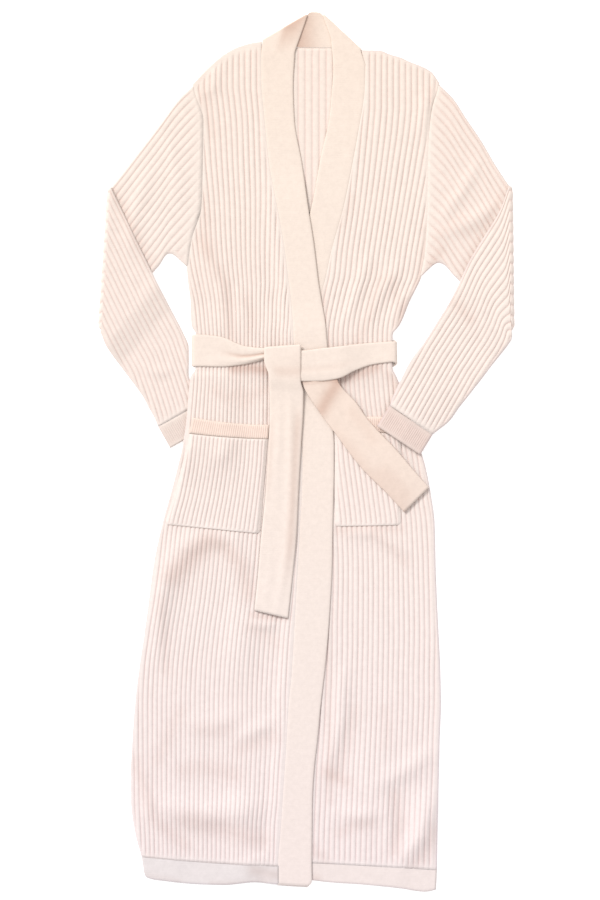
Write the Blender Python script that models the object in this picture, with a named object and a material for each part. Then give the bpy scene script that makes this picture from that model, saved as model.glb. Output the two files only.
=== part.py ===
"""Rib-knit wrap dressing gown with its tie belt, laid flat, face up.

Lengths in the tables are millimetres. X runs to the viewer's right, Y up the garment from hem
to neck, and Z up from the surface that it lies on. "Right" and "left" in the names are the
wearer's, so the right front lies on the viewer's left and laps over the left front.
"""
import math
from collections import namedtuple

import bmesh
import bpy

MM = 0.001
GARMENT = "dressing_gown"

# Driving sizes of the cloth.
KNIT = 1.8            # wall of the body knit, between its ribs
RIB = 1.2             # height of a rib above that wall
BAND = 2.4            # double knit of the front band and the belt
SEAM = 0.4            # space between two pieces at a seam
GAP = 0.4             # space between two layers that lie on each other
EDGE = 1.5            # width of the rounding along a cloth edge
SLEEVE_PITCH = 9.1    # rib spacing on the upper arms
FOREARM_PITCH = 7.4   # and on the forearms
FINE_PITCH = 3.1      # rib spacing on cuffs and pocket tops
FINE_RIB = 0.5
BELT_LIFT = 2.6       # how much the belt behind the waist lifts the layers above it
CUFF_LIFT = 5.6       # how much the tucked right cuff lifts them
FRONT_UNDER = KNIT + GAP                    # underside of both fronts
CREST = KNIT + RIB                          # whole height of a ribbed wall
BAND_UNDER = FRONT_UNDER + BAND + 1.0       # underside of the lapping band
POCKET_OFF = 0.6                            # pocket cloth above the crests of the panel

# Height of the waist, from where the layers start to rise to where they are down again.
WAIST = dict(low=113.0, full_low=125.0, full_high=176.0, high=188.0)
# The tucked cuff: its rise along Y, and where it dies out along X.
TUCK = dict(low=-16.0, full_low=10.0, full_high=113.0, high=125.0, full_x=-128.0, end_x=-98.0)

Billow = namedtuple("Billow", "x y reach_x reach_y height")
BILLOWS = [
    Billow(-222, -222, 42, 82, 4.0),
    Billow(-98, -290, 40, 95, 4.5),
    Billow(-92, -560, 44, 90, 5.0),
    Billow(97, -500, 55, 110, 5.0),
    Billow(176, -560, 34, 80, 3.5),
]
# Columns of points of the plain inner side of the fronts, and of the back.
GRID_X = [-240, -218, -196, -172, -150, -128, -118, -108, -98, -75, -52, -26, 0, 26, 52, 75,
          97, 120, 142, 160, 178]
BACK_X = [-172, -128, -118, -108, -98, 0, 97]

# One row of a front, from its side edge to the band: heights of its two ends and middle, its
# side edge, the rib that everything is counted from, and the rib spacing.
Course = namedtuple("Course", "y_side y_mid y_band side grain pitch")
RIGHT_COURSES = [
    Course(-608, -617, -622, -246, -143, 6.6),      # hem seam
    Course(-565, -565, -565, -257, -143, 6.7),
    Course(-523, -523, -523, -262, -142, 6.9),
    Course(-478, -478, -478, -262, -141, 7.0),
    Course(-433, -433, -433, -260, -140, 7.1),
    Course(-380, -380, -380, -256, -140, 7.1),
    Course(-328, -328, -328, -250, -138, 7.1),
    Course(-275, -275, -275, -242, -133, 7.0),
    Course(-223, -223, -223, -235, -126, 6.9),
    Course(-170, -170, -170, -228, -120, 6.8),
    Course(-109, -119, -130, -215, -115, 6.65),     # foot of the pocket
    Course(-62, -62, -62, -202, -106, 6.4),
    Course(-16, -16, -16, -190, -100, 6.2),
    Course(10, 10, 10, -184, -98, 6.1),
    Course(28, 20, 19, -181, -97, 6.05),            # foot of the pocket top
    Course(53, 41, 43, -178, -96, 6.0),             # mouth of the pocket
    Course(77, 77, 77, -176, -95, 5.9),
    Course(113, 113, 113, -172, -94, 5.8),
    Course(125, 125, 125, -164.3, -94, 5.8),        # belt, lower edge
    Course(176, 176, 176, -164.3, -94, 5.8),        # belt, upper edge
    Course(188, 188, 188, -171, -94, 5.9),
    Course(227, 227, 227, -173, -95, 6.2),
    Course(251, 251, 251, -176, -96, 6.6),
    Course(275, 275, 275, -178, -98, 6.9),          # underarm
    Course(316, 316, 316, -173, -100, 7.3),
    Course(367, 367, 367, -158, -101, 7.7),
    Course(431, 431, 431, -156, -104, 8.2),
    Course(496, 496, 496, -155, -107, 8.5),
    Course(527, 527, 527, -163, -110, 8.6),
    Course(543, 547, 547, -168.5, -112, 8.7),
    Course(549, 580, 592, -169.5, -112, 8.7),       # top of the armhole
]
LEFT_COURSES = [
    Course(-628, -622, -617, 197, 103, 7.9),        # hem seam
    Course(-565, -565, -565, 198, 104, 7.9),
    Course(-523, -523, -523, 199, 106, 7.9),
    Course(-478, -478, -478, 200, 108, 7.9),
    Course(-433, -433, -433, 201, 110, 7.8),
    Course(-380, -380, -380, 203, 112, 7.8),
    Course(-328, -328, -328, 202, 113, 7.7),
    Course(-275, -275, -275, 199.5, 114, 7.7),
    Course(-223, -223, -223, 197, 114, 7.6),
    Course(-170, -170, -170, 195, 113.5, 7.5),
    Course(-109, -111, -112.5, 193.5, 111, 7.5),
    Course(-62, -62, -62, 187.5, 105, 7.4),
    Course(-16, -16, -16, 178, 99, 7.4),
    Course(10, 10, 10, 169.5, 96, 7.3),
    Course(28, 28, 28, 163.5, 93, 7.3),
    Course(52, 52, 52, 157, 90, 7.3),
    Course(77, 77, 77, 148.5, 87, 7.25),
    Course(113, 113, 113, 136, 84, 7.2),
    Course(125, 125, 125, 130.3, 83, 7.2),
    Course(176, 176, 176, 130.6, 83, 7.4),
    Course(188, 188, 188, 140, 84, 7.4),
    Course(227, 227, 227, 157, 92, 7.5),
    Course(251, 251, 251, 169, 99, 7.7),
    Course(260, 260, 260, 173, 102, 7.8),
    Course(302, 302, 302, 181, 108, 8.0),
    Course(365, 365, 365, 184.5, 118, 8.2),
    Course(428, 428, 428, 185, 127, 8.6),
    Course(491, 491, 491, 187, 135, 9.0),
    Course(520, 520, 520, 191, 137, 9.0),
    Course(541, 545, 545, 198.8, 137, 9.0),
    Course(549, 575, 581, 200.5, 137, 9.0),
]
UNDERARM = 23         # the course where side seam and armhole meet
POCKET_FOOT = 10
POCKET_MOUTH = 15

# Shoulder and neck outline, left to right.
RIGHT_SHOULDER = [(-169.5, 550.5), (-152, 569), (-133, 587), (-122, 595.5), (-100, 607),
                  (-83, 612), (-69, 614.5)]
LEFT_SHOULDER = [(84.5, 602), (110, 601.5), (127, 595.5), (145, 590), (152, 586.5),
                 (188.5, 569.5), (200.5, 553)]
BACK_NECK = [(-65.5, 608), (-40, 608), (-13, 606), (15, 605.5), (41, 605.5), (82, 600)]

# The front band: seam edge, free edge and height of its underside.
BandSection = namedtuple("BandSection", "seam_x seam_y free_x free_y under")
LAPPING_BAND = [
    BandSection(-42, -650, 3, -653, BAND_UNDER),
    BandSection(-42, -641, 10, -644, BAND_UNDER),
    BandSection(-42, -622, 9.5, -622, BAND_UNDER),
    BandSection(-38, -565, 10, -565, BAND_UNDER),
    BandSection(-35, -523, 10.5, -523, BAND_UNDER),
    BandSection(-32, -478, 13, -478, BAND_UNDER),
    BandSection(-29, -433, 18, -433, BAND_UNDER),
    BandSection(-26, -380, 23, -380, BAND_UNDER),
    BandSection(-21, -328, 29, -328, BAND_UNDER),
    BandSection(-18, -275, 34, -275, BAND_UNDER),
    BandSection(-15, -223, 37.5, -223, BAND_UNDER),
    BandSection(-12, -170, 40, -170, BAND_UNDER),
    BandSection(-9, -113, 41, -113, BAND_UNDER),
    BandSection(-6, -62, 42.3, -62, BAND_UNDER),
    BandSection(-5, -16, 43, -16, BAND_UNDER),
    BandSection(-7, 10, 43, 10, BAND_UNDER),
    BandSection(-9, 43, 41, 43, BAND_UNDER),
    BandSection(-10, 77, 39, 77, BAND_UNDER),
    BandSection(-13, 113, 37, 113, BAND_UNDER),
    BandSection(-16, 125, 36, 125, BAND_UNDER),
    BandSection(-19, 176, 31.5, 176, BAND_UNDER),
    BandSection(-19.5, 188, 30.5, 188, BAND_UNDER),
    BandSection(-22.5, 227, 24, 227, BAND_UNDER),
    BandSection(-25.5, 251, 20, 251, BAND_UNDER),
    BandSection(-28.5, 275, 17, 275, BAND_UNDER),
    BandSection(-34, 316, 12, 316, BAND_UNDER),
    BandSection(-43, 367, 4, 367, 5.4),
    BandSection(-55, 431, -5, 431, FRONT_UNDER),
    BandSection(-62, 496, -16.5, 496, FRONT_UNDER),
    BandSection(-65, 527, -18, 527, FRONT_UNDER),
    BandSection(-66.8, 547, -18.5, 547, FRONT_UNDER),
    BandSection(-67.4, 592, -16, 599, 2.9),
]
NECK_BAND = [  # behind the neck, its inner face up
    BandSection(-40, 608, 5.5, 658, 0),
    BandSection(-13, 606, 10, 659, 0),
    BandSection(15, 605.5, 16, 659, 0),
    BandSection(41, 605.5, 22, 658.2, 0),
]
LAPPED_BAND = [
    BandSection(90, 581, 38, 620, 2.9),
    BandSection(89.6, 545, 41.5, 572, FRONT_UNDER),
    BandSection(87, 520, 39, 535, FRONT_UNDER),
    BandSection(82, 491, 36, 503, FRONT_UNDER),
    BandSection(70.5, 428, 23, 443, FRONT_UNDER),
    BandSection(57.5, 365, 9.5, 371, FRONT_UNDER),
    BandSection(40, 302, -10, 302, FRONT_UNDER),
    BandSection(31, 260, -19, 260, FRONT_UNDER),
    BandSection(23, 227, -26, 227, FRONT_UNDER),
    BandSection(25.5, 188, -24, 188, FRONT_UNDER),
    BandSection(27, 176, -23, 176, FRONT_UNDER),
    BandSection(31.5, 125, -18.5, 125, FRONT_UNDER),
    BandSection(32, 113, -18, 113, FRONT_UNDER),
    BandSection(34.5, 77, -15.5, 77, FRONT_UNDER),
    BandSection(37, 43, -13, 43, FRONT_UNDER),
    BandSection(38, 10, -12, 10, FRONT_UNDER),
    BandSection(38, -16, -12, -16, FRONT_UNDER),
    BandSection(37.5, -62, -12.5, -62, FRONT_UNDER),
    BandSection(37, -113, -13, -113, FRONT_UNDER),
    BandSection(35, -170, -15, -170, FRONT_UNDER),
    BandSection(33, -223, -17, -223, FRONT_UNDER),
    BandSection(29, -275, -21, -275, FRONT_UNDER),
    BandSection(25, -328, -25, -328, FRONT_UNDER),
    BandSection(19.5, -380, -30.5, -380, FRONT_UNDER),
    BandSection(14, -433, -36, -433, FRONT_UNDER),
    BandSection(9, -478, -41, -478, FRONT_UNDER),
    BandSection(7, -523, -43, -523, FRONT_UNDER),
    BandSection(4.5, -565, -45.5, -565, FRONT_UNDER),
    BandSection(4.5, -622, -45.5, -622, FRONT_UNDER),
    BandSection(4.5, -642, -45.5, -642, FRONT_UNDER),
]
# The band turns over at the neck along these lines, seam edge to free edge.
RIGHT_TURN = ((-64.5, 614.5), (3.0, 653.7))
LEFT_TURN = ((82.9, 600.8), (26.1, 654))
LEFT_NECK_CORNER = (85.1, 602)       # of the left front's edge, clear of the turn
TURN_RADIUS = 1.6

# Hem edges, left to right.
RIGHT_HEM_EDGE = [(-241.5, -635), (-238, -639), (-211, -644), (-158, -649), (-121, -650),
                  (-76, -646), (-44, -649)]
LEFT_HEM_EDGE = [(4, -642), (37, -646), (82, -649), (142, -655), (179, -660), (195.5, -657)]
HEM_KNIT = 2.2
HEM_STEPS = 13

# Pockets: side edges of each.
RIGHT_POCKET = dict(mouth=(-169, -54), foot=(-211, -68))
LEFT_POCKET = dict(mouth=(43.5, 143), foot=(43.5, 143))

# One ring of a sleeve, from its top edge to its underarm edge, with the height of the
# middle between its two walls at the top edge, half way and the underarm edge.
Ring = namedtuple("Ring", "top_x top_y low_x low_y z_top z_mid z_low")
FLAT = KNIT + GAP / 2            # middle of a sleeve that lies on the surface
SLEEVE_TURN = 3.5                # radius of the middle at the elbow turn
FULL_RING = 6                    # forearm ring past which its top edge is under the body
FOLDED = FLAT + 2 * SLEEVE_TURN  # middle of the forearm where it lies on the upper arm
RIGHT_UPPER = [
    Ring(-188.8, 529.5, -203, 297, FLAT, FLAT, FLAT),
    Ring(-218.8, 489.5, -221, 277, FLAT, FLAT, FLAT),
    Ring(-248.8, 450.5, -256, 239, FLAT, FLAT, FLAT),
    Ring(-275.8, 415.5, -284, 208, FLAT, FLAT, FLAT),
]
RIGHT_ELBOW = ((-290, 397), (-306, 182))
RIGHT_FOREARM = [
    Ring(-272, 356, -307, 178, FOLDED, FOLDED, FOLDED),
    Ring(-253, 316, -305, 173, FOLDED, FOLDED, FOLDED),
    Ring(-233, 275, -303, 167, FOLDED, FOLDED, FOLDED),
    Ring(-223, 254, -300, 160, FOLDED, FOLDED, FOLDED),
    Ring(-212, 233, -289, 143, 5.5, 5.5, 5.5),
    Ring(-199, 208, -277, 127, FLAT, FLAT, FLAT),
    Ring(-184, 179, -262, 107, FLAT, FLAT, FLAT),
    Ring(-175.5, 157, -250, 91, FLAT, FLAT, FLAT),
    Ring(-175.2, 140, -242, 79, FLAT, FLAT, FLAT),
    Ring(-175.5, 114, -235, 65, FLAT, FLAT, FLAT),
    Ring(-164.5, 95, -227, 51, FLAT, FLAT, FLAT),
    Ring(-155, 74, -221, 37, FLAT, FLAT, FLAT),
]
RIGHT_CUFF_END = Ring(-137, 43, -203, 5, FLAT, FLAT, FLAT)
LEFT_UPPER = [
    Ring(221, 530, 199.5, 283, FLAT, FLAT, FLAT),
    Ring(240, 501, 224, 262, FLAT, FLAT, FLAT),
    Ring(263, 467, 251, 235, FLAT, FLAT, FLAT),
    Ring(284, 431, 280, 206, FLAT, FLAT, FLAT),
]
LEFT_ELBOW = ((300, 401), (307.5, 181))
LEFT_FOREARM = [
    Ring(283, 365, 309, 178, FOLDED, FOLDED, FOLDED),
    Ring(265, 328, 309.5, 173, FOLDED, FOLDED, FOLDED),
    Ring(247, 289, 308.5, 168, FOLDED, FOLDED, FOLDED),
    Ring(226, 244, 303, 159, FOLDED, FOLDED, FOLDED),
    Ring(214, 221, 293, 146, 5.5, 5.5, 5.5),
    Ring(199, 197, 281, 131, FLAT, FLAT, FLAT),
    Ring(178, 164, 262, 106, 3.0, FLAT, FLAT),
    Ring(158, 137, 244, 83, 7.9, 4.5, FLAT),
    Ring(145, 112, 229, 64, 9.5, 7.9, FLAT),
    Ring(134, 90, 217, 47, 11.0, 9.6, 4.0),
    Ring(126, 69, 190.5, 25.5, 12.0, 10.8, 6.0),
]
LEFT_CUFF_END = Ring(107, 38, 172, -5, 12.0, 11.8, 8.0)

# Belt stretches on the fronts: position along X, the two edges, the underside and the height
# of the fold that runs into the knot.
BeltSection = namedtuple("BeltSection", "x y_top y_bottom under fold")
BELT_UNDER = BELT_LIFT + FRONT_UNDER + CREST + GAP
BELT_RIGHT_STRETCH = [
    BeltSection(-158, 175.5, 127.5, BELT_UNDER, 0),
    BeltSection(-127, 172, 127, BELT_UNDER, 0.3),
    BeltSection(-94, 159, 130, BELT_UNDER, 1.5),
    BeltSection(-76, 156, 134, BELT_UNDER + 0.3, 2.2),
    BeltSection(-60, 155, 138, 9.2, 2.6),
    BeltSection(-34, 153, 139, 10.4, 2.6),
]
BELT_LEFT_STRETCH = [
    BeltSection(-29, 155, 108, 12.2, 0),
    BeltSection(-5, 151.5, 105, 13.9, 0),
    BeltSection(22, 154.5, 105.5, 13.9, 0.4),
    BeltSection(50, 157.5, 109.5, 13.9, 0.6),
    BeltSection(74, 160.5, 121, 11.0, 0.8),
    BeltSection(100, 163, 130, BELT_UNDER, 0.5),
    BeltSection(128, 165, 134, BELT_UNDER, 0),
]
# Both edges of the belt behind the waist, at the right and the left side.
BELT_BACK = ((174.5, 126.5), (167.0, 127.0))
BELT_TURN_X = (-165.5, 132.0)    # middle of the belt's turn round each side edge

# Free belt ends: both edges and the height of the underside along each.
EndSection = namedtuple("EndSection", "x_a y_a x_b y_b under_a under_b")
HANGING_END = [
    EndSection(-62, 134, -7, 128, 16.8, 16.8),
    EndSection(-55, 112, -7, 106, 16.6, 16.6),
    EndSection(-54, 90, -3, 88, 12.5, 12.5),
    EndSection(-53.5, 62, -3.5, 60, 10.4, 10.4),
    EndSection(-55, 20, -6, 18, 10.0, 10.0),
    EndSection(-59, -50, -10, -52, 9.8, 9.8),
    EndSection(-67, -131, -14, -131, 9.8, 9.8),
    EndSection(-72, -190, -20, -192, 8.6, 9.6),
    EndSection(-77, -238, -26, -250, 9.4, 9.6),
]
KNOT_ROLL = dict(y_a=153, y_b=157, centre=15.2, radius=2.8)
SLANTED_END = [
    EndSection(-8, 113, 44, 119, 11.2, 11.2),
    EndSection(-4, 99, 50, 103, 11.0, 10.6),
    EndSection(18, 63, 76, 73, 9.6, 9.4),
    EndSection(43, 29, 92, 50, 9.4, 9.4),
    EndSection(85, -26, 135, 4, 9.4, 9.4),
    EndSection(121, -62, 163, -29, 9.3, 8.6),
    EndSection(148, -91, 185, -54, 8.2, 7.6),
]

# Base colours, roughness; the knit is one yarn, dyed the same throughout.
BLUSH = (0.87, 0.73, 0.68, 1.0)
BLUSH_PLAIN = (0.88, 0.75, 0.70, 1.0)


def clamp(value):
    return max(0.0, min(1.0, value))


def along(points, at, axis=0):
    """The other coordinate of a polyline, where its given coordinate is at."""
    pairs = sorted((p[axis], p[1 - axis]) for p in points)
    if at <= pairs[0][0]:
        return pairs[0][1]
    for (a, va), (b, vb) in zip(pairs, pairs[1:]):
        if at <= b:
            return va + (vb - va) * (at - a) / (b - a)
    return pairs[-1][1]


def plateau(value, low, full_low, full_high, high):
    """0 outside low..high, 1 between the two full values, straight slopes between."""
    return min(clamp((value - low) / (full_low - low)), clamp((high - value) / (high - full_high)))


def lift(x, y):
    """How far the belt behind the waist and the tucked cuff raise the layers above them."""
    waist = BELT_LIFT * plateau(y, **WAIST)
    up = plateau(y, TUCK["low"], TUCK["full_low"], TUCK["full_high"], TUCK["high"])
    sideways = clamp((TUCK["end_x"] - x) / (TUCK["end_x"] - TUCK["full_x"]))
    return max(waist, CUFF_LIFT * up * sideways)


def billow(x, y):
    """Height of the soft hollow folds of the fronts."""
    total = 0.0
    for b in BILLOWS:
        r = math.hypot((x - b.x) / b.reach_x, (y - b.y) / b.reach_y)
        if r < 1:
            total += b.height * math.cos(r * math.pi / 2) ** 2
    return total


def seam_line(sections):
    return [(s.seam_x, s.seam_y) for s in sections]


def lapping_seam_x(y):
    return along(seam_line(LAPPING_BAND), y, axis=1)


def lapped_seam_x(y):
    return along([LEFT_NECK_CORNER] + seam_line(LAPPED_BAND), y, axis=1)


def lapping_under(y):
    """Underside of the lapping band at a height on the garment."""
    return along([(s.seam_y, s.under) for s in LAPPING_BAND], y) + lift(0, y)


def right_front_under(x, y):
    """The right front lies on the back, and climbs to its band next to the seam."""
    base = FRONT_UNDER + lift(x, y) + billow(x, y)
    climb = clamp((25 - (lapping_seam_x(y) - x)) / 16)
    return base + (lapping_under(y) - base) * climb


def left_front_under(x, y):
    return FRONT_UNDER + lift(x, y) + billow(x, y)


class Cloth:
    """Gathers the points and faces of one closed piece, row by row, in millimetres."""

    def __init__(self):
        self.points = []
        self.faces = []

    def row(self, points):
        """Adds (key, x, y, z) points in order and returns (key, index) pairs."""
        start = len(self.points)
        self.points += [tuple(p[1:]) for p in points]
        return [(p[0], start + i) for i, p in enumerate(points)]

    def by_x(self, row):
        return [(self.points[index][0], index) for _, index in row]

    def stitch(self, a, b):
        """Closes the strip between two rows, joining columns that have the same key."""
        i = j = 0
        while i < len(a) - 1 or j < len(b) - 1:
            key_a = a[i + 1][0] if i < len(a) - 1 else math.inf
            key_b = b[j + 1][0] if j < len(b) - 1 else math.inf
            if abs(key_a - key_b) < 1e-6:
                self.faces.append((a[i][1], a[i + 1][1], b[j + 1][1], b[j][1]))
                i, j = i + 1, j + 1
            elif key_a < key_b:
                self.faces.append((a[i][1], a[i + 1][1], b[j][1]))
                i += 1
            else:
                self.faces.append((a[i][1], b[j + 1][1], b[j][1]))
                j += 1

    def close_sides(self, outer, inner):
        """Walls along the first and last columns of two stacks of rows."""
        for k in range(len(outer) - 1):
            for end in (0, -1):
                self.faces.append((outer[k][end][1], outer[k + 1][end][1],
                                   inner[k + 1][end][1], inner[k][end][1]))

    def make(self, name, colour, roughness=0.9):
        """Builds the object, with its faces turned outward."""
        mesh = bpy.data.meshes.new(name)
        points = [(x * MM, y * MM, z * MM) for x, y, z in self.points]
        mesh.from_pydata(points, [], self.faces)
        mesh.validate()
        bm = bmesh.new()
        bm.from_mesh(mesh)
        bmesh.ops.recalc_face_normals(bm, faces=bm.faces)
        bm.to_mesh(mesh)
        bm.free()
        mesh.shade_smooth()
        mesh.set_sharp_from_angle(angle=math.radians(40))
        piece = bpy.data.objects.new(name, mesh)
        bpy.data.collections[GARMENT].objects.link(piece)
        piece.data.materials.append(knit_material(name + "_knit", colour, roughness))
        return piece


def knit_material(name, colour, roughness):
    material = bpy.data.materials.new(name)
    material.use_nodes = True
    shader = material.node_tree.nodes["Principled BSDF"]
    shader.inputs["Base Color"].default_value = colour
    shader.inputs["Roughness"].default_value = roughness
    shader.inputs["Metallic"].default_value = 0.0
    return material


class Row:
    """One course of a panel: its ends, its height at any x, and its ribs."""

    def __init__(self, x_low, x_high, height, grain, pitch, rib=RIB):
        self.x_low = x_low
        self.x_high = x_high
        self.height = height
        self.grain = grain
        self.pitch = pitch
        self.rib = rib

    def columns(self):
        """(key, x, raised) for each crest and groove clear of both edges."""
        first = math.ceil(2 * (self.x_low + EDGE + 1 - self.grain) / self.pitch)
        last = math.floor(2 * (self.x_high - EDGE - 1 - self.grain) / self.pitch)
        return [(k, self.grain + k * self.pitch / 2, k % 2 == 0) for k in range(first, last + 1)]


def ribbed_panel(rows, under, knit=KNIT, extra=lambda row: ()):
    """A closed panel: ribs in its outer points, over a plain inner side."""
    cloth = Cloth()
    outer = []
    inner = []
    for row in rows:
        top = [(-1e6, row.x_low, knit / 2), (-1e5, row.x_low + EDGE, knit)]
        top += [(k, x, knit + (row.rib if raised else 0)) for k, x, raised in row.columns()]
        top += [(1e5, row.x_high - EDGE, knit), (1e6, row.x_high, knit / 2)]
        outer.append(cloth.row([(k, x, row.height(x), under(x, row.height(x)) + h)
                                for k, x, h in top]))
        xs = [x for x in GRID_X if row.x_low + 3 < x < row.x_high - 3]
        xs = [x for x in xs if all(abs(x - e) > 2 for e in extra(row))]
        xs = [row.x_low] + sorted(xs + list(extra(row))) + [row.x_high]
        inner.append(cloth.row([(x, x, row.height(x), under(x, row.height(x))) for x in xs]))
    for a, b in zip(outer, outer[1:]):
        cloth.stitch(a, b)
    for a, b in zip(inner, inner[1:]):
        cloth.stitch(a, b)
    cloth.close_sides(outer, inner)
    for end in (0, -1):
        cloth.stitch(cloth.by_x(outer[end]), cloth.by_x(inner[end]))
    return cloth


def bent(a, middle, b, xa, xb):
    """A height that runs from a at xa, through middle, to b at xb."""
    def height(x):
        u = (x - xa) / (xb - xa)
        return a * (1 - u) * (1 - 2 * u) + middle * 4 * u * (1 - u) + b * u * (2 * u - 1)
    return height


def front_rows(courses, seam_x, shoulder, side):
    """The rows of a front; side is -1 where its side seam is at the low x, else 1."""
    rows = []
    for c in courses:
        band = seam_x(c.y_band) + side * SEAM
        height = bent(c.y_side, c.y_mid, c.y_band, c.side, band)
        low, high = sorted((c.side, band))
        rows.append(Row(low, high, height, c.grain, c.pitch))
    top = rows[-1]
    low, high = sorted((courses[-1].side, seam_x(shoulder[-1 if side < 0 else 0][1]) + side * SEAM))
    rows.append(Row(low, high, lambda x: along(shoulder, x), top.grain, top.pitch, rib=0.3))
    return rows


def right_front_rows():
    return front_rows(RIGHT_COURSES, lapping_seam_x, RIGHT_SHOULDER, -1)


def left_front_rows():
    return front_rows(LEFT_COURSES, lapped_seam_x, LEFT_SHOULDER, 1)


def make_fronts():
    climb = lambda row: (row.x_high + SEAM - 25, row.x_high + SEAM - 9)
    ribbed_panel(right_front_rows(), right_front_under, extra=climb).make("right_front", BLUSH)
    ribbed_panel(left_front_rows(), left_front_under).make("left_front", BLUSH)


def make_back():
    """The back lies face down, so its ribbed side is flat and its inner side is plain."""
    cloth = Cloth()
    upper = []
    lower = []
    for r, l in zip(RIGHT_COURSES, LEFT_COURSES):
        xs = [r.side] + [x for x in BACK_X if r.side + 3 < x < l.side - 3] + [l.side]
        heights = [r.y_side + (l.y_side - r.y_side) * (x - r.side) / (l.side - r.side) for x in xs]
        upper.append([(x, x, y, KNIT + lift(x, y)) for x, y in zip(xs, heights)])
        lower.append([(x, x, y, lift(x, y)) for x, y in zip(xs, heights)])
    outline = RIGHT_SHOULDER + BACK_NECK + LEFT_SHOULDER
    upper.append([(x, x, y - SEAM, KNIT) for x, y in outline])
    lower.append([(x, x, y - SEAM, 0) for x, y in outline])
    upper = [cloth.row(row) for row in upper]
    lower = [cloth.row(row) for row in lower]
    for stack in (upper, lower):
        for a, b in zip(stack, stack[1:]):
            cloth.stitch(a, b)
    cloth.close_sides(upper, lower)
    for end in (0, -1):
        cloth.stitch(upper[end], lower[end])
    cloth.make("back_panel", BLUSH)


def join_loops(cloth, loops):
    """Skins a run of closed cross-sections and caps both ends."""
    for a, b in zip(loops, loops[1:]):
        for k in range(len(a)):
            n = (k + 1) % len(a)
            cloth.faces.append((a[k], a[n], b[n], b[k]))
    cloth.faces.append(tuple(loops[0]))
    cloth.faces.append(tuple(reversed(loops[-1])))


def hem_strip(name, seam_ends, edge_ends, seam, edge, under, thick):
    """A plain strip between the last row of a panel and the garment's hem edge."""
    cloth = Cloth()
    loops = []
    for k in range(HEM_STEPS + 1):
        x_seam, x_edge = (a + (b - a) * k / HEM_STEPS for a, b in (seam_ends, edge_ends))
        y_seam, y_edge = seam(x_seam) - SEAM, edge(x_edge)
        z_seam, z_edge = under(x_seam, y_seam), under(x_edge, y_edge)
        points = [(x_seam, y_seam, z_seam), (x_edge, y_edge + EDGE, z_edge),
                  (x_edge, y_edge, z_edge + thick / 2), (x_edge, y_edge + EDGE, z_edge + thick),
                  (x_seam, y_seam, z_seam + thick)]
        loops.append([index for _, index in cloth.row([(0, *p) for p in points])])
    join_loops(cloth, loops)
    cloth.make(name, BLUSH_PLAIN)


def make_hems():
    right, left = right_front_rows()[0], left_front_rows()[0]
    low, high = RIGHT_HEM_EDGE[0][0], LEFT_HEM_EDGE[-1][0]
    hem_strip("right_hem", (right.x_low, right.x_high), (low, right.x_high), right.height,
              lambda x: along(RIGHT_HEM_EDGE, x), right_front_under, HEM_KNIT)
    hem_strip("left_hem", (left.x_low, left.x_high), (left.x_low, high), left.height,
              lambda x: along(LEFT_HEM_EDGE, x), left_front_under, HEM_KNIT)
    r, l = RIGHT_COURSES[0], LEFT_COURSES[0]
    hem_strip("back_hem", (r.side, l.side), (low, high),
              lambda x: r.y_side + (l.y_side - r.y_side) * (x - r.side) / (l.side - r.side),
              lambda x: along(RIGHT_HEM_EDGE + LEFT_HEM_EDGE, x) + 1.5, lambda x, y: 0, KNIT)


def pocket_rows(rows, edges, first, last, mouth_y, foot_y):
    """The panel's own rows, cut to the pocket's side edges."""
    picked = []
    for index in range(first, last + 1):
        row = rows[index]
        share = clamp((row.height(sum(edges["mouth"]) / 2) - foot_y) / (mouth_y - foot_y))
        low, high = (f + (m - f) * share for m, f in zip(edges["mouth"], edges["foot"]))
        picked.append(Row(low, high, row.height, row.grain, row.pitch))
    return picked


def shifted(row, dy):
    height = row.height
    return Row(row.x_low, row.x_high, lambda x: height(x) + dy, row.grain, row.pitch)


def pocket_top(rows, under):
    """The fine-ribbed band along a pocket's mouth."""
    cloth = Cloth()
    outer = []
    inner = []
    for row in rows:
        width = row.x_high - row.x_low
        count = 2 * round((rows[-1].x_high - rows[-1].x_low) / FINE_PITCH)
        xs = [row.x_low + width * k / count for k in range(count + 1)]
        heights = [BAND * 0.6 if k in (0, count) else BAND + FINE_RIB * (k % 2)
                   for k in range(count + 1)]
        outer.append(cloth.row([(k, x, row.height(x), under(x, row.height(x)) + h)
                                for k, (x, h) in enumerate(zip(xs, heights))]))
        xs = [row.x_low] + [x for x in GRID_X if row.x_low + 3 < x < row.x_high - 3] + [row.x_high]
        inner.append(cloth.row([(x, x, row.height(x), under(x, row.height(x))) for x in xs]))
    cloth.stitch(*outer)
    cloth.stitch(*inner)
    cloth.close_sides(outer, inner)
    for end in (0, -1):
        cloth.stitch(cloth.by_x(outer[end]), cloth.by_x(inner[end]))
    return cloth


def make_pocket(side, rows, front_under, edges):
    above = lambda x, y: front_under(x, y) + CREST + POCKET_OFF
    middle = sum(edges["mouth"]) / 2
    mouth_y = rows[POCKET_MOUTH].height(middle)
    foot_y = rows[POCKET_FOOT].height(middle)
    picked = pocket_rows(rows, edges, POCKET_FOOT, POCKET_MOUTH, mouth_y, foot_y)
    body, top = picked[:-1], picked[-2:]
    body[-1] = shifted(body[-1], -SEAM / 2)
    top[0] = shifted(top[0], SEAM / 2)
    ribbed_panel(body, above).make(side + "_pocket", BLUSH)
    pocket_top(top, above).make(side + "_pocket_top", BLUSH_PLAIN)


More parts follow.
